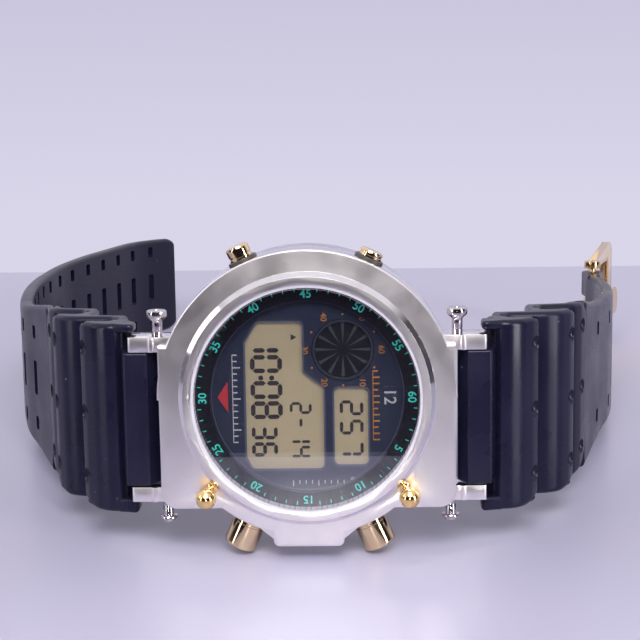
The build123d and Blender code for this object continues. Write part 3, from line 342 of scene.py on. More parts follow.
def polished(name, colour, roughness, wear=(0.5, 0.5, 0.5)):
    """Bright metal with faint swirls, worn towards a second colour in spots."""
    paint = Paint(name, colour, metallic=1.0, roughness=roughness)
    swirl = paint.noise(700, 5.0, 0.6)
    rub = paint.noise(260, 3.0)
    paint.feed("Roughness", swirl.ramp(0.35, 0.75, roughness * 0.6, roughness * 1.9))
    paint.feed("Base Color", paint.mix(rub.ramp(0.58, 0.8, 0.0, 0.5), colour, wear))
    return paint.material


SATIN = blasted("satin_steel_finish", (0.86, 0.81, 0.82), 0.34)
BRIGHT = polished("polished_steel_finish", (0.80, 0.77, 0.79), 0.09, (0.6, 0.58, 0.6))
SCREW_STEEL = polished("screw_finish", (0.52, 0.48, 0.51), 0.17, (0.4, 0.38, 0.4))
BRONZE = polished("pusher_finish", (0.76, 0.58, 0.36), 0.10, (0.84, 0.72, 0.54))
GOLD = polished("gold_finish", (0.85, 0.58, 0.26), 0.12, (0.92, 0.75, 0.50))
SPRING = polished("spring_finish", (0.7, 0.69, 0.68), 0.2)
print("metals", SATIN.name, BRIGHT.name, BRONZE.name, GOLD.name)

# %% [markdown]
# The strap is moulded in a dark resin with a soft sheen. Its skin is a fine bump, and dust sits on
# it in specks: cells give the specks, and a wider noise says where they gather. Prints are thin
# ink on the dial, flat and only a little uneven.


# %% Resins and prints
def resin(name, colour, roughness, dust):
    """Dark rubbery plastic with a moulded skin and a share of dust."""
    paint = Paint(name, colour, roughness=roughness, specular=0.24)
    skin = paint.noise(2600, 3.0)
    cloud = paint.noise(120, 4.0)
    specks = paint.cells(420)
    shade = paint.mix(cloud.ramp(0.3, 0.7), colour, shaded(colour, 1.35))
    flecks = specks.ramp(0.10, 0.02, 0.0, dust) * paint.noise(60, 2.0).ramp(0.52, 0.66)
    paint.feed("Base Color", paint.mix(flecks, shade, (0.5, 0.5, 0.58)))
    paint.feed("Roughness", cloud.ramp(0.3, 0.7, roughness - 0.05, roughness + 0.08))
    paint.bump(skin, 0.00003, 0.25)
    return paint.material


def moulded(name, colour, roughness=0.5, grain=1500):
    """Plain moulded plastic with a grain."""
    paint = Paint(name, colour, roughness=roughness)
    cloud = paint.noise(300, 3.0)
    paint.feed("Base Color", paint.mix(cloud, shaded(colour, 0.9), shaded(colour, 1.1)))
    paint.bump(paint.noise(grain, 2.0), 0.00002, 0.3)
    return paint.material


def flat(name, colour, roughness=0.5, specular=0.4):
    """Thin print: its colour is a little uneven, like ink."""
    paint = Paint(name, colour, roughness=roughness, specular=specular)
    ink = paint.noise(2500, 2.0)
    paint.feed("Base Color", paint.mix(ink, shaded(colour, 0.94), colour))
    return paint.material


RESIN = resin("strap_resin_finish", (0.0070, 0.0067, 0.020), 0.28, 0.30)
SEAL = moulded("seal_finish", (0.012, 0.012, 0.015), 0.55)
RING_BLACK = flat("ring_black", (0.006, 0.006, 0.012), 0.35)
DIAL_BLUE = moulded("dial_blue", (0.023, 0.035, 0.074), 0.4, 4000)
TEAL = flat("teal_print", (0.05, 0.72, 0.60))
WHITE = flat("white_print", (0.78, 0.78, 0.80))
ORANGE = flat("orange_print", (0.75, 0.30, 0.05))
RED = flat("red_print", (0.70, 0.05, 0.06))
SEGMENT = flat("segment_grey", (0.035, 0.03, 0.04))
DISPLAY = flat("display_tan", (0.65, 0.54, 0.34), 0.3, 0.5)
GAUGE_DARK = flat("gauge_dark", (0.012, 0.014, 0.02), 0.3)
GAUGE_GREY = flat("gauge_grey", (0.075, 0.095, 0.10), 0.4)
EDGE_GREY = flat("window_edge", (0.13, 0.14, 0.22), 0.4)
print("strap resin", RESIN.name, "display", DISPLAY.name)

# %% [markdown]
# The watch glass is a flat disc. A true glass shader would bend light twice and needs many samples.
# A mix of a clear and a mirror shader looks the same on a flat pane, and Layer Weight makes the
# mirror stronger at a glancing angle, as on real glass.


# %% Glass
def clear_glass(name, least, most):
    """Mirror share: least + (most - least) f^4, where f is 0 face on and 1 at the rim."""
    material = bpy.data.materials.new(name)
    material.use_nodes = True
    material.node_tree.nodes.clear()
    graph = Graph(material.node_tree)
    clear = graph.node("BsdfTransparent", {"Color": (0.97, 0.975, 0.98)})
    mirror = graph.node("BsdfGlossy", {"Roughness": 0.015})
    facing = graph.node("LayerWeight", {"Blend": 0.5}, out="Facing")
    pane = graph.node("MixShader", {0: (facing ** 4).ramp(0.0, 1.0, least, most), 1: clear, 2: mirror})
    surface = graph.tree.nodes.new("ShaderNodeOutputMaterial").inputs["Surface"]
    graph.tree.links.new(pane.output, surface)
    return material


GLASS = clear_glass("glass_finish", 0.23, 0.85)
print("materials", len(bpy.data.materials))

# %% [markdown]
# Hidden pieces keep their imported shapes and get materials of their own, so that the watch can be
# opened and still look right. They would not repay the work of a new mesh.

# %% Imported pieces
PACKED = {
    "glass_gasket": moulded("gasket_nylon", (0.50, 0.48, 0.53), 0.3),
    "printed_ring": RING_BLACK,
    "dial_plate": DIAL_BLUE,
    "gauge_rim": moulded("gauge_rim_finish", (0.05, 0.055, 0.085), 0.35),
    "display_panel": DISPLAY,
    "gauge_panel": GAUGE_DARK,
    "backlight_sheet": moulded("backlight_finish", (0.62, 0.75, 0.7)),
    "movement_frame": moulded("movement_plastic", (0.05, 0.05, 0.055)),
    "connector_strips": moulded("connector_finish", (0.3, 0.26, 0.27)),
    "circuit_board": moulded("board_finish", (0.03, 0.18, 0.08), 0.35),
    "chip": moulded("chip_finish", (0.015, 0.015, 0.017), 0.3),
    "booster_coil": polished("copper_finish", (0.75, 0.36, 0.18), 0.25),
    "insulator": moulded("film_finish", (0.55, 0.32, 0.06), 0.25),
    "buzzer_disc": polished("brass_finish", (0.78, 0.58, 0.26), 0.22),
    "pusher_seals": SEAL,
    "back_seal": SEAL,
}
for steel_part in ("battery", "battery_clip", "button_contacts", "buzzer_pin", "quartz_crystal",
                   "spring_bars", "pusher_tubes", "pusher_clips", "pusher_springs"):
    PACKED[steel_part] = SPRING
for node, material in PACKED.items():
    mesh = NODES[node].data
    mesh.materials.clear()
    mesh.materials.append(material)
    smoothed(mesh, 30)
print("packed pieces dressed", len(PACKED))

# %% [markdown]
# ## Case
#
# The watch glass is flat with a ground edge, and stands in the raised ring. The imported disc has
# long thin triangles that show in reflections, so it is turned again on the case's axis with many
# steps, from a profile of its radius and its edge.

# %% Watch glass
GLASS_RADIUS, GLASS_THICKNESS, GLASS_BEVEL = 17.6, 2.2, 0.25
glass_profile = [(0.0, 0.0), (GLASS_RADIUS - GLASS_BEVEL, 0.0), (GLASS_RADIUS, -GLASS_BEVEL),
                 (GLASS_RADIUS, -GLASS_THICKNESS), (0.0, -GLASS_THICKNESS)]
finish_mesh("glass_turned", *revolved(glass_profile, 180), "case", GLASS, 30, ("glass",))
print("glass across", 2 * GLASS_RADIUS, "mm")

# %% [markdown]
# The case is one block of steel. Its front is blasted, and its sides and the slope round the
# raised ring are polished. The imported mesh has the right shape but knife-sharp edges, so a copy
# gets a narrow bevel, which catches the light as worn steel does. Which face is polished follows
# from its direction and its distance from the centre.

# %% Case body and back
SIDE_LIMIT, FRONT_LIMIT = 0.55, 0.95
SLOPE_START, SLOPE_END, SLOPE_FOOT = 19.2, 20.4, -0.95
body_mesh = softened("case_body", 0.12)
dress("case_shell", body_mesh, "case", SATIN, ("case_body",))
body_mesh.materials.append(BRIGHT)
turn = np.array(CASE.to_3x3())
normals = np.array([face.normal for face in body_mesh.polygons]) @ turn
centres = (np.array([face.center for face in body_mesh.polygons]) - np.array(CASE.translation)) @ turn / MM
reach = np.hypot(centres[:, 0], centres[:, 1])
on_side = np.abs(normals[:, 2]) < SIDE_LIMIT
on_slope = ((reach > SLOPE_START) & (reach < SLOPE_END) & (centres[:, 2] > SLOPE_FOOT)
            & (normals[:, 2] < FRONT_LIMIT))
for face, bright in zip(body_mesh.polygons, on_side | on_slope):
    face.material_index = int(bright)

dress("back_cover", softened("case_back", 0.15), "case", SATIN, ("case_back",))
print("case faces", len(body_mesh.polygons))

# %% [markdown]
# A pusher is turned from bronze-coloured steel: a cap with a rounded rim and a shallow ring near
# its foot, on a stem. Everything turned on a lathe is a profile of radius and height, spun here
# by revolved() and then moved so that its axis points out of the case. The upper two stand in
# dark collars.

# %% Pushers
PUSHER_TURN = math.radians(24.8)
PUSHER_DEPTH = 5.5
STEM_RADIUS, STEM_END = 0.75, 16.35
RING_DEPTH = 0.1
UPPER_CAP, LOWER_CAP = (1.85, 22.25), (2.65, 20.95)
PUSHERS = {"pusher_upper_left": (-1, 1, *UPPER_CAP, 26.0), "pusher_upper_right": (1, 1, *UPPER_CAP, 25.0),
           "pusher_lower_left": (-1, -1, *LOWER_CAP, 27.2), "pusher_lower_right": (1, -1, *LOWER_CAP, 27.2)}
COLLAR = ((1.95, 22.6), (1.95, 23.75), (2.1, 23.85), (2.3, 23.75), (2.35, 23.5), (2.35, 22.6))


def cap_profile(radius, base, end):
    """(radius, distance from the case's axis) pairs from the middle of the cap's face to the stem's end."""
    rim = [(0, end), (radius * 0.5, end), (radius - 0.38, end - 0.02), (radius - 0.13, end - 0.12),
           (radius - 0.02, end - 0.36), (radius, end - 0.5)]
    ring = [(radius, base + 2.3), (radius - RING_DEPTH, base + 2.2), (radius - RING_DEPTH, base + 2.0),
            (radius, base + 1.9)]
    return rim + ring + [(radius, base), (STEM_RADIUS, base), (STEM_RADIUS, STEM_END), (0, STEM_END)]


pusher_root = (0, 0, -PUSHER_DEPTH)
collars = []
for name, (side, upright, radius, base, end) in PUSHERS.items():
    direction = (side * math.sin(PUSHER_TURN), upright * math.cos(PUSHER_TURN), 0)
    points, faces = revolved(cap_profile(radius, base, end), 72)
    finish_mesh(name + "_cap", moved(points, pusher_root, direction), faces, name, BRONZE, 35, (name,))
    if upright > 0:
        points, faces = revolved(COLLAR, 48)
        collars.append((moved(points, pusher_root, direction), faces))
finish_mesh("pusher_collars", *joined(*collars), "case", moulded("collar_finish", (0.05, 0.045, 0.04), 0.35))
print("pushers", len(PUSHERS), "collars", len(collars))

# %% [markdown]
# Two gold balls on short necks sit on the front corners, where a cover once snapped on. Ball and
# neck are one profile: a stepped foot, then an arc of the ball from near its pole to its top.

# %% Ball studs
BALL_RADIUS, BALL_START = 1.6, 0.42
NECK = [(0, 0), (0.65, 0), (0.65, 0.6), (0.95, 0.62), (0.95, 0.8), (0.62, 1.0)]
studs = []
for side in (-1, 1):
    foot, ball = Vector((side * 15.0, -13.9, -1.5)), Vector((side * 15.85, -15.2, 1.5))
    reach = (ball - foot).length
    globe = [(BALL_RADIUS * math.sin(a), reach - BALL_RADIUS * math.cos(a))
             for a in np.linspace(BALL_START, math.pi, 28)]
    points, faces = revolved(NECK + globe, 48)
    studs.append((moved(points, foot, ball - foot), faces))
finish_mesh("stud_balls", *joined(*studs), "case", GOLD, 40, ("ball_studs",))
print("ball studs", len(studs))

# %% [markdown]
# Four loose screws stand in the lugs' holes. The upper pair has a thick disc of a head on a short
# cone, and the lower pair a flange with a smaller head. Each is a profile too, and its axis lies
# along the case's y.


# %% Cover screws
SHANK, WAIST, TIP = 0.85, 0.8, 0.7
SCREW_DEPTH = 4.45
UPPER_HEAD = [(SHANK, 12.0), (0.95, 12.15), (1.5, 12.62), (1.6, 12.8), (1.6, 13.4), (1.53, 13.63),
              (1.35, 13.75), (0.5, 13.75), (0.35, 13.35), (0, 13.3)]
LOWER_HEAD = [(0.9, -19.3), (1.38, -19.4), (1.45, -19.5), (1.45, -19.72), (1.38, -19.8), (1.1, -19.8),
              (1.08, -20.1), (0.95, -20.28), (0.4, -20.3), (0.3, -20.05), (0, -20.0)]
SCREWS = {"upper_cover_screws": (UPPER_HEAD, 1, 8.05, 11.8, 23.5),
          "lower_cover_screws": (LOWER_HEAD, -1, 15.45, 19.1, 22.5)}
for name, (head, sign, low, high, across) in SCREWS.items():
    shank = [(0.0, low), (TIP, low), (SHANK, low + 0.15), (SHANK, high - 1.6), (WAIST, high - 1.5),
             (WAIST, high - 1.3), (SHANK, high - 1.2), (SHANK, high - 0.1)]
    points, faces = revolved([(r, sign * z) for r, z in shank] + head, 40)
    points = points[:, [0, 2, 1]] * (1, 1, -1)
    pair = [(points + (side * across, 0, -SCREW_DEPTH), faces) for side in (-1, 1)]
    finish_mesh(name + "_turned", *joined(*pair), "case", SCREW_STEEL, 35, (name,))
print("screws", 2 * len(SCREWS))

# %% [markdown]
# ## Dial
#
# Real dials are screen printed. An image texture could hold the print, but flat shapes a hair
# above the dial stay sharp at any distance and export as meshes. Every shape is collected by its
# ink and its height, and each such layer becomes one mesh. The dial reads from the side that faces
# the wearer's hand, so print runs down the standing watch.

# %% Print tools
PRINTS = {}


def ink(material, points, faces, z):
    """Add flat shapes given as (x, y) in case mm to a print layer at height z."""
    layer = PRINTS.setdefault((material.name, z), [material, []])
    layer[1].append((np.column_stack([np.asarray(points, float), np.full(len(points), z)]), faces))


def line(start, end, width):
    """Both ends as arrays, the unit way between them, and half a width to its left."""
    start, end = np.array(start, float), np.array(end, float)
    along = (end - start) / np.hypot(*(end - start))
    return start, end, along, np.array([-along[1], along[0]]) * width / 2


def bar(material, start, end, width, z):
    """Rectangle of a width between two points."""
    start, end, _, across = line(start, end, width)
    ink(material, [start - across, end - across, end + across, start + across], [(0, 1, 2, 3)], z)


def disc(material, centre, radius, z, hole=0.0, steps=64):
    """Round spot, or a ring when it has a hole."""
    angle = np.linspace(0, 2 * np.pi, steps, endpoint=False)
    rim = np.column_stack([np.cos(angle), np.sin(angle)])
    if not hole:
        ink(material, rim * radius + centre, [tuple(range(steps))], z)
        return
    ink(material, np.concatenate([rim * radius, rim * hole]) + centre, bands(2, steps), z)


TYPE_SIZE, TYPE_WEIGHT = 1.4, 0.012


def number(material, text, centre, height, turn, z):
    """Plain figures of a height about a centre, their tops pointing along the angle turn."""
    curve = bpy.data.curves.new("figures", "FONT")
    curve.body, curve.size = text, height * TYPE_SIZE
    curve.align_x = curve.align_y = "CENTER"
    curve.offset = height * TYPE_WEIGHT
    holder = added("figures", curve)
    mesh = bpy.data.meshes.new_from_object(holder.evaluated_get(bpy.context.evaluated_depsgraph_get()))
    points = np.array([v.co[:2] for v in mesh.vertices])
    faces = [tuple(face.vertices) for face in mesh.polygons]
    bpy.data.objects.remove(holder)
    bpy.data.meshes.remove(mesh)
    turn -= math.pi / 2
    spin = np.array([[math.cos(turn), math.sin(turn)], [-math.sin(turn), math.cos(turn)]])
    ink(material, points @ spin + centre, faces, z)


# %% [markdown]
# The display shows figures made of seven bars. A table says which bars light for each figure, and
# one function lays the bars out, as the real display's electrodes are.

# %% Segment figures
SEGMENTS = {"0": "abcdef", "1": "bc", "2": "abged", "3": "abgcd", "4": "fgbc", "5": "afgcd", "6": "afgedc",
            "7": "abc", "8": "abcdefg", "9": "abcdfg", "-": "g"}


def segment_figure(text, left, base, width, height, step, z, bold):
    """Seven segment figures; left and base are along and across the reading direction."""
    thick = height * bold
    for place, letter in enumerate(text):
        near = left + place * step
        far, middle, top = near + width, base + height / 2, base + height
        ends = {"a": ((near, top), (far, top)), "b": ((far, middle), (far, top)),
                "c": ((far, base), (far, middle)), "d": ((near, base), (far, base)),
                "e": ((near, base), (near, middle)), "f": ((near, middle), (near, top)),
                "g": ((near, middle), (far, middle))}
        for name in SEGMENTS.get(letter, ""):
            start, end, along, across = line(*ends[name], thick)
            start, end = start + along * thick * 0.1, end - along * thick * 0.1
            tip = along * thick / 2
            left_end, right_end = start + tip, end - tip
            shape = [start, left_end + across, right_end + across, end, right_end - across, left_end - across]
            ink(SEGMENT, [(p[1], -p[0]) for p in shape], [tuple(range(6))], z)
        if letter == ":":
            for level in (0.3, 0.7):
                disc(SEGMENT, (base + height * level, -(near + 0.1)), thick * 0.55, z, steps=16)


LCD_Z, DIAL_Z, RING_Z = -3.97, -3.585, -2.185
TIME_BASE, DATE_BASE, DAY_BASE = -8.6, -2.6, 5.3
for text, left, base, width, height, step, bold in (
        ("10", -9.4, TIME_BASE, 2.15, 4.3, 3.25, 0.17), (":", -2.95, TIME_BASE, 2.15, 4.3, 3.3, 0.17),
        ("08", -2.0, TIME_BASE, 2.15, 4.3, 3.25, 0.17), ("36", 5.0, TIME_BASE, 1.75, 3.5, 2.8, 0.17),
        ("2-14", 1.3, DATE_BASE, 1.45, 3.0, 2.35, 0.15),
        ("25", 1.1, DAY_BASE, 1.9, 3.2, 3.1, 0.16), ("7", 7.6, DAY_BASE, 1.9, 3.2, 3.1, 0.16)):
    segment_figure(text, left, base, width, height, step, LCD_Z, bold)
ink(SEGMENT, [(-1.6, 9.3), (-2.5, 9.8), (-2.5, 8.8)], [(0, 1, 2)], LCD_Z)
print("display bars", len(PRINTS[(SEGMENT.name, LCD_Z)][1]))

# %% [markdown]
# The round gauge has twelve pale wedges and a ring of tens. Two scales, a red pointer mark and a
# row of short ticks fill the places of the writing. The windows have a pale edge, drawn as a
# strip between their rounded outline and the same outline moved outwards.

# %% Dial marks
GAUGE = np.array([5.65, 7.3])
GAUGE_SPOKES, WEDGE_START, WEDGE_END, WEDGE_HALF = 12, 0.7, 4.3, 0.28
for spoke in range(GAUGE_SPOKES):
    angle = 2 * math.pi * spoke / GAUGE_SPOKES
    way = np.array([math.cos(angle), math.sin(angle)])
    across = WEDGE_HALF * np.array([-way[1], way[0]])
    wide = GAUGE + way * WEDGE_END
    ink(GAUGE_GREY, [GAUGE + way * WEDGE_START, wide - across, wide + across], [(0, 1, 2)], LCD_Z)
    if spoke % 2:
        disc(ORANGE, GAUGE + way * 5.65, 0.17, DIAL_Z, steps=16)
    else:
        number(ORANGE, str(10 * ((-spoke // 2) % 6) or 60), GAUGE + way * 6.0, 0.95, 0.0, DIAL_Z)
disc(GAUGE_GREY, GAUGE, 4.55, LCD_Z, hole=4.45)

LEFT_SCALE, RIGHT_SCALE, LOW_SCALE = -11.75, 10.3, -13.6
# ink, count, foot of the first mark, step to the next, way of a mark, lengths in turn, width
SCALES = ((WHITE, 15, (LEFT_SCALE, 6.6), (0, -1), (1, 0), (0.75, 0.75, 1.25, 0.75, 0.75), 0.2),
          (ORANGE, 12, (RIGHT_SCALE + 0.05, 3.9), (0, -1), (1, 0), (0.75, 1.0, 1.0), 0.24),
          (WHITE, 9, (-2.4, LOW_SCALE), (1, 0), (0, -1), (1.0, 0.6, 0.6, 0.6), 0.14))
for material, count, first, step, way, lengths, width in SCALES:
    for mark in range(count):
        foot = np.array(first) + mark * np.array(step)
        bar(material, foot, foot + lengths[mark % len(lengths)] * np.array(way), width, DIAL_Z)
bar(WHITE, (LEFT_SCALE, 6.6), (LEFT_SCALE, -7.4), 0.12, DIAL_Z)
bar(ORANGE, (RIGHT_SCALE, 4.0), (RIGHT_SCALE, -7.2), 0.1, DIAL_Z)
ink(RED, [(-14.15, -0.1), (-12.5, 2.4), (-12.5, -2.6)], [(0, 1, 2)], DIAL_Z)
number(WHITE, "12", (12.9, -0.2), 1.9, 0.0, DIAL_Z)
disc(WHITE, (7.0, -13.4), 0.28, DIAL_Z, hole=0.16, steps=24)

WINDOW_ROUND, WINDOW_EDGE = 0.8, 0.28
MAIN_WINDOW = [(-9.7, -9.9), (-9.7, 8.5), (-7.8, 11.7), (-0.75, 11.7), (-0.75, 3.8), (2.5, 1.2), (2.5, -11.8),
               (-8.75, -11.8)]
DAY_WINDOW = [(4.2, -11.2), (4.2, 1.2), (9.5, 1.2), (9.5, -11.2)]
for corners in (MAIN_WINDOW, DAY_WINDOW):
    edge = rounded(corners, [WINDOW_ROUND] * len(corners))
    outer = edge + WINDOW_EDGE * beside_run(chords(edge))
    ink(EDGE_GREY, np.vstack([edge, outer]), bands(2, len(edge)), DIAL_Z)
disc(EDGE_GREY, (0, 0), 15.2, DIAL_Z, hole=15.05, steps=128)

# %% [markdown]
# The black ring carries a minute scale in teal: a figure at each five minutes, its top towards the
# glass's edge, and a tick at each of the others.

# %% Printed ring
for minute in range(60):
    angle = math.radians(6 * minute)
    way = np.array([math.cos(angle), -math.sin(angle)])
    if minute % 5:
        bar(TEAL, way * 16.75, way * 17.3, 0.15, RING_Z)
    else:
        number(TEAL, str(minute or 60), way * 16.35, 1.3, -angle, RING_Z)
for count, ((_, z), (material, shapes)) in enumerate(sorted(PRINTS.items(), key=lambda item: item[0])):
    finish_mesh("print_%02d" % count, *joined(*shapes), "case", material)
print("print layers", len(PRINTS))

# %% [markdown]
# ## Strap
#
# Each half is one moulding, and seen from above it is a ribbon: three ridges like bellows, then a
# plain band. It could be sculpted or subdivided, but an outline and two tables of heights give
# clean walls and can be read. The outline is rounded, cut into short steps and raised between its
# edges, whose heights differ with depth. A wall of edge radius r has rows at inset r (1 - cos a)
# and drop r (1 - sin a). Points are (out from the middle, depth behind the glass) in mm.

# %% Strap outline
BELLOWS_OUTER = (
    (30.5, 6.3), (32.0, 6.3), (34.1, 7.2), (36.0, 9.1), (37.4, 11.3),
    (32.0, 10.5), (32.2, 14.3), (38.8, 14.8), (41.1, 15.6), (43.0, 17.7), (44.2, 20.1),
    (38.3, 18.9), (38.6, 22.9), (42.4, 23.6), (44.5, 24.5), (46.1, 26.6), (47.1, 29.0))
BELLOWS_INNER = ((42.7, 26.3), (36.1, 25.1), (36.1, 17.3), (29.8, 16.6), (29.8, 12.6), (28.4, 11.2),
                 (28.4, 9.2), (29.55, 8.0), (29.75, 7.2))
RIDGE, FOLD = (4.5, 4.5, 4.5), (0.6, 0.8, 0.8)
OUTER_ROUND = (0.5, *RIDGE, *FOLD, *RIDGE, *FOLD, *RIDGE, 1.2)
INNER_ROUND = (1.0, 0.8, 0.8, 0.8, 0.5, 0.5, 0.6, 0.3, 0.3)
LONG_PATH = ((47.1, 29.0), (50.1, 37.0), (53.7, 44.0), (56.0, 52.0), (57.6, 62.0), (58.3, 72.0), (58.1, 80.0),
             (56.8, 89.0), (53.9, 98.6), (50.2, 110.0), (45.8, 122.0), (38.8, 134.0))
SHORT_PATH = ((47.1, 29.0), (51.0, 40.0), (55.0, 52.0), (57.5, 64.0), (58.3, 75.0), (57.6, 84.0))
EAR_TOP, EAR_LOW = ((3.0, 11.3), (29.0, 11.1)), ((3.0, -19.6), (29.0, -19.0))
LONG_TOP = (*EAR_TOP, (35.0, 10.2), (44.0, 9.0), (52.0, 8.9), (62.0, 9.6), (80.0, 10.2), (99.0, 11.6),
            (122.0, 12.3), (134.5, 12.0))
LONG_LOW = (*EAR_LOW, (35.0, -17.1), (45.0, -14.8), (50.0, -12.2), (62.0, -11.8), (80.0, -11.4),
            (99.0, -10.8), (122.0, -10.0), (134.5, -9.6))
SHORT_TOP = (*EAR_TOP, (36.0, 9.6), (44.0, 8.6), (64.0, 8.1), (75.0, 8.3), (92.0, 8.6))
SHORT_LOW = (*EAR_LOW, (36.0, -17.1), (45.0, -15.6), (64.0, -15.2), (75.0, -11.4), (82.0, -8.5), (92.0, -8.5))
CRESTS = ((37.4, 6.2, 12.0), (44.2, 14.2, 20.8), (47.1, 22.8, 29.4))
FOLDS = ((11.2, 13.9, 31.0), (20.4, 22.4, 37.4))
BAND_WALL = 2.6
TUCK_START = 38.0
MESH_STEP = 0.8


def smooth_path(points, pieces=8):
    """Catmull-Rom curve: a cubic for each stretch, its end slopes half the chord between the neighbours."""
    points = np.array(points, float)
    ends = np.vstack([2 * points[0] - points[1], points, 2 * points[-1] - points[-2]])
    t = np.linspace(0, 1, pieces, endpoint=False)[:, None]
    rows = []
    for before, start, end, after in zip(ends, ends[1:], ends[2:], ends[3:]):
        square = 2 * before - 5 * start + 4 * end - after
        cube = 3 * start - before - 3 * end + after
        rows.append(0.5 * (2 * start + (end - before) * t + square * t ** 2 + cube * t ** 3))
    return np.vstack(rows + [points[-1:]])


def beside(path, wall):
    """The path moved to its wrist side by the wall's thickness."""
    return path + wall * beside_run(np.gradient(path, axis=0))


def stepped(outline, step=MESH_STEP):
    """Cut a closed outline's long sides into steps."""
    rows = []
    for start, end in zip(outline, np.roll(outline, -1, axis=0)):
        count = max(1, int(math.ceil(np.hypot(*(end - start)) / step)))
        rows.append(start + (end - start) * np.linspace(0, 1, count, endpoint=False)[:, None])
    return np.vstack(rows)


def raised(outline, low, high, edge, rows):
    """Solid between heights low and high, one of each per outline point, with rounded edges."""
    outline = np.asarray(outline, float)
    area = np.sum(outline[:, 0] * np.roll(outline[:, 1], -1) - outline[:, 1] * np.roll(outline[:, 0], -1))
    inward = beside_run(chords(outline)) * (1 if area > 0 else -1)
    curve = [(edge * (1 - math.cos(a)), edge * (1 - math.sin(a))) for a in np.linspace(0, math.pi / 2, rows)]
    levels = [(inset, low + drop) for inset, drop in reversed(curve)]
    levels += [(0, low + edge + (high - low - 2 * edge) * share) for share in (0.25, 0.5, 0.75)]
    levels += [(inset, high - drop) for inset, drop in curve]
    rings = [np.column_stack([outline + inward * inset, level]) for inset, level in levels]
    size = len(outline)
    faces = bands(len(rings), size)
    for ring, start in ((rings[0], 0), (rings[-1], (len(rings) - 1) * size)):
        flat_cap = tessellate_polygon([[Vector((x, y, 0)) for x, y in ring[:, :2]]])
        faces += [tuple(start + i for i in triangle) for triangle in flat_cap]
    points = np.vstack(rings)
    return points[:, [0, 2, 1]] * (1, 1, -1), faces


def edge_heights(outline, table, step=0.5, spread=2.2, reach=12):
    """Strap edge at each outline point: the table's heights, eased by weights exp(-(d / spread)^2 / 2)."""
    depth = np.arange(0, 140, step)
    height = np.interp(depth, *zip(*table))
    weight = np.exp(-0.5 * (np.arange(-reach, reach + 1) * step / spread) ** 2)
    eased = np.convolve(np.pad(height, reach, mode="edge"), weight / weight.sum(), mode="valid")
    return np.interp(outline[:, 1], depth, eased)


def tucked(points, share):
    """The outer ridges are pressed in by a share of what lies beyond the tuck's start."""
    points = np.array(points, float)
    points[:, 0] -= share * np.maximum(points[:, 0] - TUCK_START, 0)
    return points


def crest_drop(outline, radius, tuck):
    """How far an edge is lowered: by an arc of a radius at each ridge's crest, and by 0.5 mm in the folds."""
    drop = np.zeros(len(outline))
    for crest, near, far in CRESTS:
        crest -= tuck * max(crest - TUCK_START, 0)
        short = np.clip(radius - (crest - outline[:, 0]), 0, radius)
        here = (outline[:, 1] > near) & (outline[:, 1] < far) & (outline[:, 0] > crest - radius)
        drop = np.maximum(drop, np.where(here, radius - np.sqrt(np.maximum(radius ** 2 - short ** 2, 0)), 0))
    for near, far, out in FOLDS:
        inside = np.clip(np.minimum(outline[:, 1] - near, far - outline[:, 1]) / 0.6, 0, 1)
        drop = np.maximum(drop, 0.5 * inside * (outline[:, 0] > out))
    return drop


# %% [markdown]
# The band has rounded slots that go right through, and each ridge has three dimples. They are cut
# by a Boolean modifier, which is applied at once, so that the finished mesh is what is kept.

# %% Strap cutters
def cut_box(centre, along, normal, length, height, deep, corner=0.45):
    """Rounded slot whose length runs along the band and which goes straight through it."""
    corners = [(length / 2 * u, height / 2 * v) for u, v in ((-1, -1), (1, -1), (1, 1), (-1, 1))]
    outline = rounded(corners, [corner] * 4, 5)
    size = len(outline)
    faces = bands(2, size) + [tuple(range(size)), tuple(range(size, 2 * size))]
    up = np.array([0, 1, 0])
    points = [centre + along * u + up * v + normal * d for d in (-deep, deep) for u, v in outline]
    return np.array(points), faces


def cut_bowl(centre, normal, radius=1.45, lift=0.55):
    """Ball that leaves a shallow round dimple."""
    profile = [(radius * math.sin(a), radius * math.cos(a)) for a in np.linspace(0.0, math.pi, 13)]
    points, faces = revolved(profile, 24)
    return points + centre + normal * lift, faces


def band_spot(path, depth, side, height):
    """Point on the band's outer face, the way along it, and its outward normal, in case terms."""
    after = max(int(np.argmax(path[:, 1] >= depth)), 1)
    before, run = path[after - 1], path[after] - path[after - 1]
    x = before[0] + (depth - before[1]) / run[1] * run[0]
    run /= np.hypot(*run)
    return (np.array([side * x, height, -depth]), np.array([side * run[0], 0, -run[1]]),
            np.array([side * run[1], 0, run[0]]))


def carved(name, solid, cutters, half):
    """A half's solid in resin, with every cutter taken out of it."""
    piece = finish_mesh(name, *solid, half, RESIN, 180, (half,))
    tool = added("tool", sealed("tool", *joined(*cutters)))
    modifier = piece.modifiers.new("cut", "BOOLEAN")
    modifier.operation, modifier.object, modifier.solver = "DIFFERENCE", tool, "EXACT"
    bpy.context.view_layer.update()
    cut = bpy.data.meshes.new_from_object(piece.evaluated_get(bpy.context.evaluated_depsgraph_get()))
    piece.modifiers.clear()
    piece.data = cut
    smoothed(cut, 38)
    bpy.data.objects.remove(tool)
    return piece


# %% [markdown]
# A half is its ribbon, a nose round the spring bar and two ears beside the lugs. The functions
# make each of them for either side, so that both halves share their shapes and their heights.

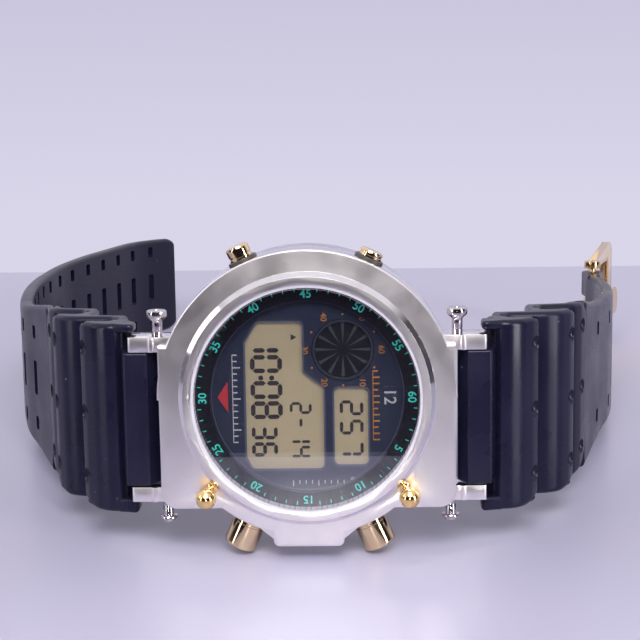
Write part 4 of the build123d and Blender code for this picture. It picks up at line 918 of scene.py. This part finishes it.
# %% Parts of a half
TIP_ROUND = (0.5, 0.5)
NOSE_CENTRE, NOSE_RADIUS, NOSE_STEPS = (26.1, 6.0), 2.45, 9
NOSE_FOOT = [(25.15, 3.5), (28.9, 3.5), (29.9, 7.2), (30.5, 7.4), (30.5, 9.4), (29.55, 9.4)]
NOSE_ROUND = [0.0] * NOSE_STEPS + [0.15, 0.6, 0.3, 0.0, 0.0, 0.0]
NOSE_LOW, NOSE_HIGH = -14.45, 7.05
EAR = ((27.5, 5.4), (30.9, 6.4), (31.2, 9.4), (27.5, 9.4))
EAR_ROUND = (0.9, 0.2, 0.2, 0.7)
EAR_SPANS = ((9.82, 11.25), (-19.5, -17.22))
VENT_LENGTH, VENT_HEIGHT, SLOT_LENGTH, SLOT_HEIGHT = 1.7, 2.4, 1.9, 6.2
DIMPLED = ((3, 4), (9, 10), (15, 16))
DIMPLE_MIDDLE, DIMPLE_RISE = -3.7, 10.6


def arc(centre, radius, start, end, count):
    """Points at centre + radius (cos a, sin a) for angles from start to end."""
    return [(centre[0] + radius * math.cos(a), centre[1] + radius * math.sin(a))
            for a in np.linspace(start, end, count)]


def block(outline, side, low, high, edge):
    """Outline raised between two level heights, on one side of the watch."""
    return raised(outline * (side, 1), np.full(len(outline), low), np.full(len(outline), high), edge, 4)


def strap_root(side):
    """Nose and ears of a half."""
    front = arc(NOSE_CENTRE, NOSE_RADIUS, math.pi / 2, math.pi, NOSE_STEPS)
    nose = stepped(rounded(front + NOSE_FOOT, NOSE_ROUND))
    ear = stepped(rounded(EAR, EAR_ROUND))
    ears = [block(ear, side, *span, 0.5) for span in EAR_SPANS]
    return [block(nose, side, NOSE_LOW, NOSE_HIGH, 0.35)] + ears


def strap_ribbon(side, bellows, bellows_inner, outer, top, low, tuck, tip):
    """Solid ribbon with rounded crests and a tip whose corners have a radius."""
    inner = beside(outer, BAND_WALL)
    corners = np.vstack([bellows, outer[1:], inner[::-1][:-2], bellows_inner])
    radii = [*OUTER_ROUND, *[0.0] * (len(outer) - 2), *TIP_ROUND, *[0.0] * (len(inner) - 3), *INNER_ROUND]
    outline = stepped(rounded(corners, radii))
    high = edge_heights(outline, top) - crest_drop(outline, 1.2, tuck)
    down = edge_heights(outline, low) + crest_drop(outline, 2.8, tuck)
    near_tip = np.clip(tip - (outer[-1][1] - outline[:, 1]), 0, tip)
    corner = tip - np.sqrt(tip ** 2 - near_tip ** 2)
    return raised(outline * (side, 1), down + corner, high - corner, 0.95, 6)


def vent_cutters(side, outer, top, low, depths, row, slots):
    """Two rows of short vents, and a long slot between them where there are slots."""
    holes = [(row, VENT_LENGTH, VENT_HEIGHT), (-row, VENT_LENGTH, VENT_HEIGHT)]
    if slots:
        holes.append((0, SLOT_LENGTH, SLOT_HEIGHT))
    cutters = []
    for depth in depths:
        middle = (np.interp(depth, *zip(*top)) + np.interp(depth, *zip(*low))) / 2
        for offset, length, height in holes:
            cutters.append(cut_box(*band_spot(outer, depth, side, middle + offset), length, height, 3.0))
    return cutters


def dimple_cutters(side, bellows):
    """Three dimples on the far slope of each ridge."""
    cutters = []
    for first, last in DIMPLED:
        slope = bellows[[first, last]]
        depth = slope[0, 1] * 0.7 + slope[1, 1] * 0.3
        for rise in (-DIMPLE_RISE, 0, DIMPLE_RISE):
            spot, along, normal = band_spot(slope, depth, side, DIMPLE_MIDDLE + rise)
            cutters.append(cut_bowl(spot, normal))
    return cutters


def strap_half(side, tuck, path, top, low, vents, row, slots, tip):
    """Ribbon, cutters and outer path of a half."""
    bellows = tucked(BELLOWS_OUTER, tuck)
    outer = smooth_path(np.vstack([bellows[-1], path[1:]]))
    ribbon = strap_ribbon(side, bellows, tucked(BELLOWS_INNER, tuck), outer, top, low, tuck, tip)
    cutters = vent_cutters(side, outer, top, low, vents, row, slots) + dimple_cutters(side, bellows)
    return ribbon, cutters, outer


# %% [markdown]
# The long half is on the six o'clock side. Its ridges are pressed in a little, rows of vents with
# a slot between them run along its band, and a shallow groove crosses it near the tip.

# %% Long half
LONG_VENTS = np.linspace(37.5, 126.0, 14)
ribbon, cutters, outer = strap_half(-1, 0.12, LONG_PATH, LONG_TOP, LONG_LOW, LONG_VENTS, 8.35, True, 4.0)
cutters.append(cut_box(*band_spot(outer, 131.2, -1, 1.0), 0.8, 60.0, 0.45, 0.1))
long_ribbon = carved("strap_long_ribbon", ribbon, cutters, "strap_long")
finish_mesh("strap_long_end", *joined(*strap_root(-1)), "strap_long", RESIN, 45)
print("long half faces", len(long_ribbon.data.polygons), "vents", len(LONG_VENTS))

# %% [markdown]
# The short half is on the twelve o'clock side. It has three rows of vents, and ends in two eyes
# for the buckle's pin.

# %% Short half
SHORT_VENTS = (40.0, 52.0, 64.0)
EYE_CENTRE, EYE_RADIUS, EYE_SPANS = (57.2, 88.5), 2.2, ((3.45, 8.45), (-8.45, -3.45))
ribbon, cutters, outer = strap_half(1, 0.0, SHORT_PATH, SHORT_TOP, SHORT_LOW, SHORT_VENTS, 8.0, False, 0.6)
eye = arc(EYE_CENTRE, EYE_RADIUS, -0.25, math.pi + 0.2, 18)
eye = stepped(np.vstack([eye, beside(outer, BAND_WALL)[-3], outer[-3]]))
eyes = [block(eye, 1, *span, 0.4) for span in EYE_SPANS]
short_ribbon = carved("strap_short_ribbon", ribbon, cutters, "strap_short")
finish_mesh("strap_short_ends", *joined(*strap_root(1), *eyes), "strap_short", RESIN, 45)
print("short half faces", len(short_ribbon.data.polygons))

# %% [markdown]
# ## Buckle
#
# Frame, tongue and pin are bent and plated metal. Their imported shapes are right, so they only get
# rounded edges and the gold finish. The frame and the tongue turn on the pin, so each of them rides
# on its own body.

# %% Buckle
dress("buckle_plate", softened("buckle_frame", 0.3, segments=3), "buckle_frame", GOLD, ("buckle_frame",))
dress("buckle_blade", softened("buckle_tongue", 0.25, segments=3), "buckle_tongue", GOLD, ("buckle_tongue",))
dress("buckle_axle", softened("buckle_pin", 0.15), "buckle_frame", GOLD, ("buckle_pin",))
print("buckle finish", GOLD.name)

# %% [markdown]
# ## Room
#
# The watch stands on a pale, slightly glossy table with a straight far edge. A plain plane is
# enough: its colour grows lighter towards the back, a painted fall of light, and a wide noise makes
# its gloss a little uneven. It is placed at the lowest point of the watch and marked as a stage, so
# that the sizes taken at the end leave it out.

# %% Table
TABLE_HALF, TABLE_NEAR, TABLE_FAR = 0.45, -0.16, 0.172
low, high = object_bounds()
FLOOR_Z = low.z
mesh = bpy.data.meshes.new("table")
mesh.from_pydata([(-TABLE_HALF, TABLE_NEAR, 0), (TABLE_HALF, TABLE_NEAR, 0), (TABLE_HALF, TABLE_FAR, 0),
                  (-TABLE_HALF, TABLE_FAR, 0)], [], [(0, 1, 2, 3)])
floor = added("table", mesh)
floor.location.z = FLOOR_Z
table = Paint("table_finish", (0.50, 0.48, 0.62), roughness=0.3, specular=0.35)
# Painted light: the table's colour is painted darker at the front and lighter towards the far edge, a painted
# fall of light across the table.
painted_falloff = table.node("SeparateXYZ", {0: table.place()}, out="Y").ramp(-0.1, TABLE_FAR - 0.002)
table.feed("Base Color", table.mix(painted_falloff, (0.28, 0.268, 0.356), (0.585, 0.565, 0.72)))
table.feed("Roughness", table.noise(9, 0.0).ramp(0.0, 1.0, 0.28, 0.34))
mesh.materials.append(table.material)
floor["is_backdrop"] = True
print("table at", FLOOR_Z)

# %% [markdown]
# The room is the world's colour, chosen by the kind of ray. The camera sees a pale wall. Mirrors
# see a dark room in front, which keeps the glass and the strap deep, and a bright wall behind,
# which gives the steel its light bands. All else gets an even grey-violet light.

# %% Room
PALE, GREY = (0.69, 0.668, 0.82), (0.585, 0.56, 0.72)
WALL_LIGHT, EVEN_LIGHT = (1.02, 0.99, 1.05), (0.26, 0.25, 0.32)
world = bpy.data.worlds.new("room")
bpy.context.scene.world = world
world.use_nodes = True
room = Graph(world.node_tree)
look = room.node("TexCoord", out="Generated")
height = room.node("SeparateXYZ", {0: look}, out="Z").ramp(-1.0, 1.0)
back = room.node("SeparateXYZ", {0: look}, out="Y").ramp(-0.1, 0.3)
wall = room.graded(height, ((0.33, (0.515, 0.49, 0.645)), (0.372, PALE), (0.40, PALE), (0.47, GREY)))
dark = room.graded(height, ((0.3, (0.05, 0.045, 0.07)), (0.5, (0.015, 0.012, 0.02)),
                            (0.75, (0.02, 0.018, 0.025)), (0.85, (0.9, 0.88, 0.95))))
bright = room.graded(height, ((0.4, PALE), (0.56, GREY), (0.62, WALL_LIGHT), (0.85, WALL_LIGHT)))
mirrored = room.mix(back, dark, bright)
lit = room.mix(room.node("LightPath", out="Is Glossy Ray"), EVEN_LIGHT, mirrored)
seen = room.mix(room.node("LightPath", out="Is Camera Ray"), lit, wall)
background = room.tree.nodes["Background"]
room.tree.links.new(seen.output, background.inputs["Color"])
background.inputs["Strength"].default_value = 1.0
print("room", world.name)

# %% [markdown]
# A wide soft lamp hangs in front of and above the watch, and a weaker one stands at the left.
# Narrow lamps at both sides draw the streaks on the ridges. A small pool of light lies on the
# table, and a low glow warms the foot of the case.

# %% Lamps
def soft_light(name, place, aim, size, power, colour, spread=180.0):
    """Rectangular lamp of a (width, depth) at a place, facing an aim, its beam spread in degrees."""
    lamp = bpy.data.lights.new(name, "AREA")
    lamp.shape = "RECTANGLE"
    lamp.size, lamp.size_y = size
    lamp.energy, lamp.color, lamp.spread = power, colour, math.radians(spread)
    holder = added(name, lamp)
    holder.location = place
    holder.rotation_mode = "QUATERNION"
    holder.rotation_quaternion = (Vector(aim) - Vector(place)).to_track_quat("-Z", "Y")
    holder.visible_camera = False


soft_light("overhead", (0.02, -0.42, 0.48), (0, 0, 0), (0.42, 0.26), 4.4, (1.0, 0.98, 0.97))
soft_light("window", (-0.75, -0.1, 0.35), (0, 0, 0), (0.3, 0.4), 0.7, (0.95, 0.95, 1.0))
for side, power in ((-1, 0.25), (1, 0.75)):
    place, aim = (side * 0.32, -0.22, 0.1), (side * 0.04, 0.02, 0.1)
    soft_light("side", place, aim, (0.045, 0.24), power, (0.93, 0.93, 1.0))
soft_light("pool", (0, -0.062, 0.2), (0, -0.062, FLOOR_Z), (0.1, 0.04), 0.022, (1.0, 0.97, 0.90), 35)
soft_light("glow", (0, -0.3, 0.045), (0, -0.02, -0.02), (0.05, 0.015), 0.0017, (1.0, 0.99, 0.97), 14)
print("lamps", len(bpy.data.lights))

# %% [markdown]
# The camera stands in front and a little above, and the watch fills most of the frame's width. Its
# view was worked out against the case: three small angles say how the case is turned before the
# camera, and a shift in mm says where the case's middle lies from it.

# %% Camera
TURN = (0.0300, 0.1568, -0.0145)
SHIFT = (-2.077, -12.482, 232.004)
SENSOR_WIDTH, LENS = 36.0, 84.375
cy, sy, cp, sp, cr, sr = (f(a) for a in TURN for f in (math.cos, math.sin))
yaw = np.array([[cy, sy, 0], [-sy, cy, 0], [0, 0, 1]])
pitch = np.array([[1, 0, 0], [0, cp, -sp], [0, sp, cp]])
roll = np.array([[cr, 0, sr], [0, 1, 0], [-sr, 0, cr]])
turn = roll @ pitch @ yaw
view_point = -turn.T @ np.array([SHIFT[0], SHIFT[2], SHIFT[1]])
right, ahead, up = (Vector((row[0], row[2], -row[1])) for row in turn)
camera = added("camera", bpy.data.cameras.new("camera"))
camera.data.sensor_width, camera.data.lens = SENSOR_WIDTH, LENS
camera.data.clip_start, camera.data.clip_end = 0.01, 10.0
facing = Matrix([CASE.to_3x3() @ way for way in (right, up, -ahead)]).transposed().to_4x4()
stand = CASE @ (Vector((view_point[0], view_point[2], -view_point[1])) * MM)
camera.matrix_world = Matrix.Translation(stand) @ facing
bpy.context.scene.camera = camera
bpy.context.scene.view_settings.view_transform = "Standard"
print("camera at", tuple(stand))

# %% Sizes
low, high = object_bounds()
print("shown", tuple(low), tuple(high))
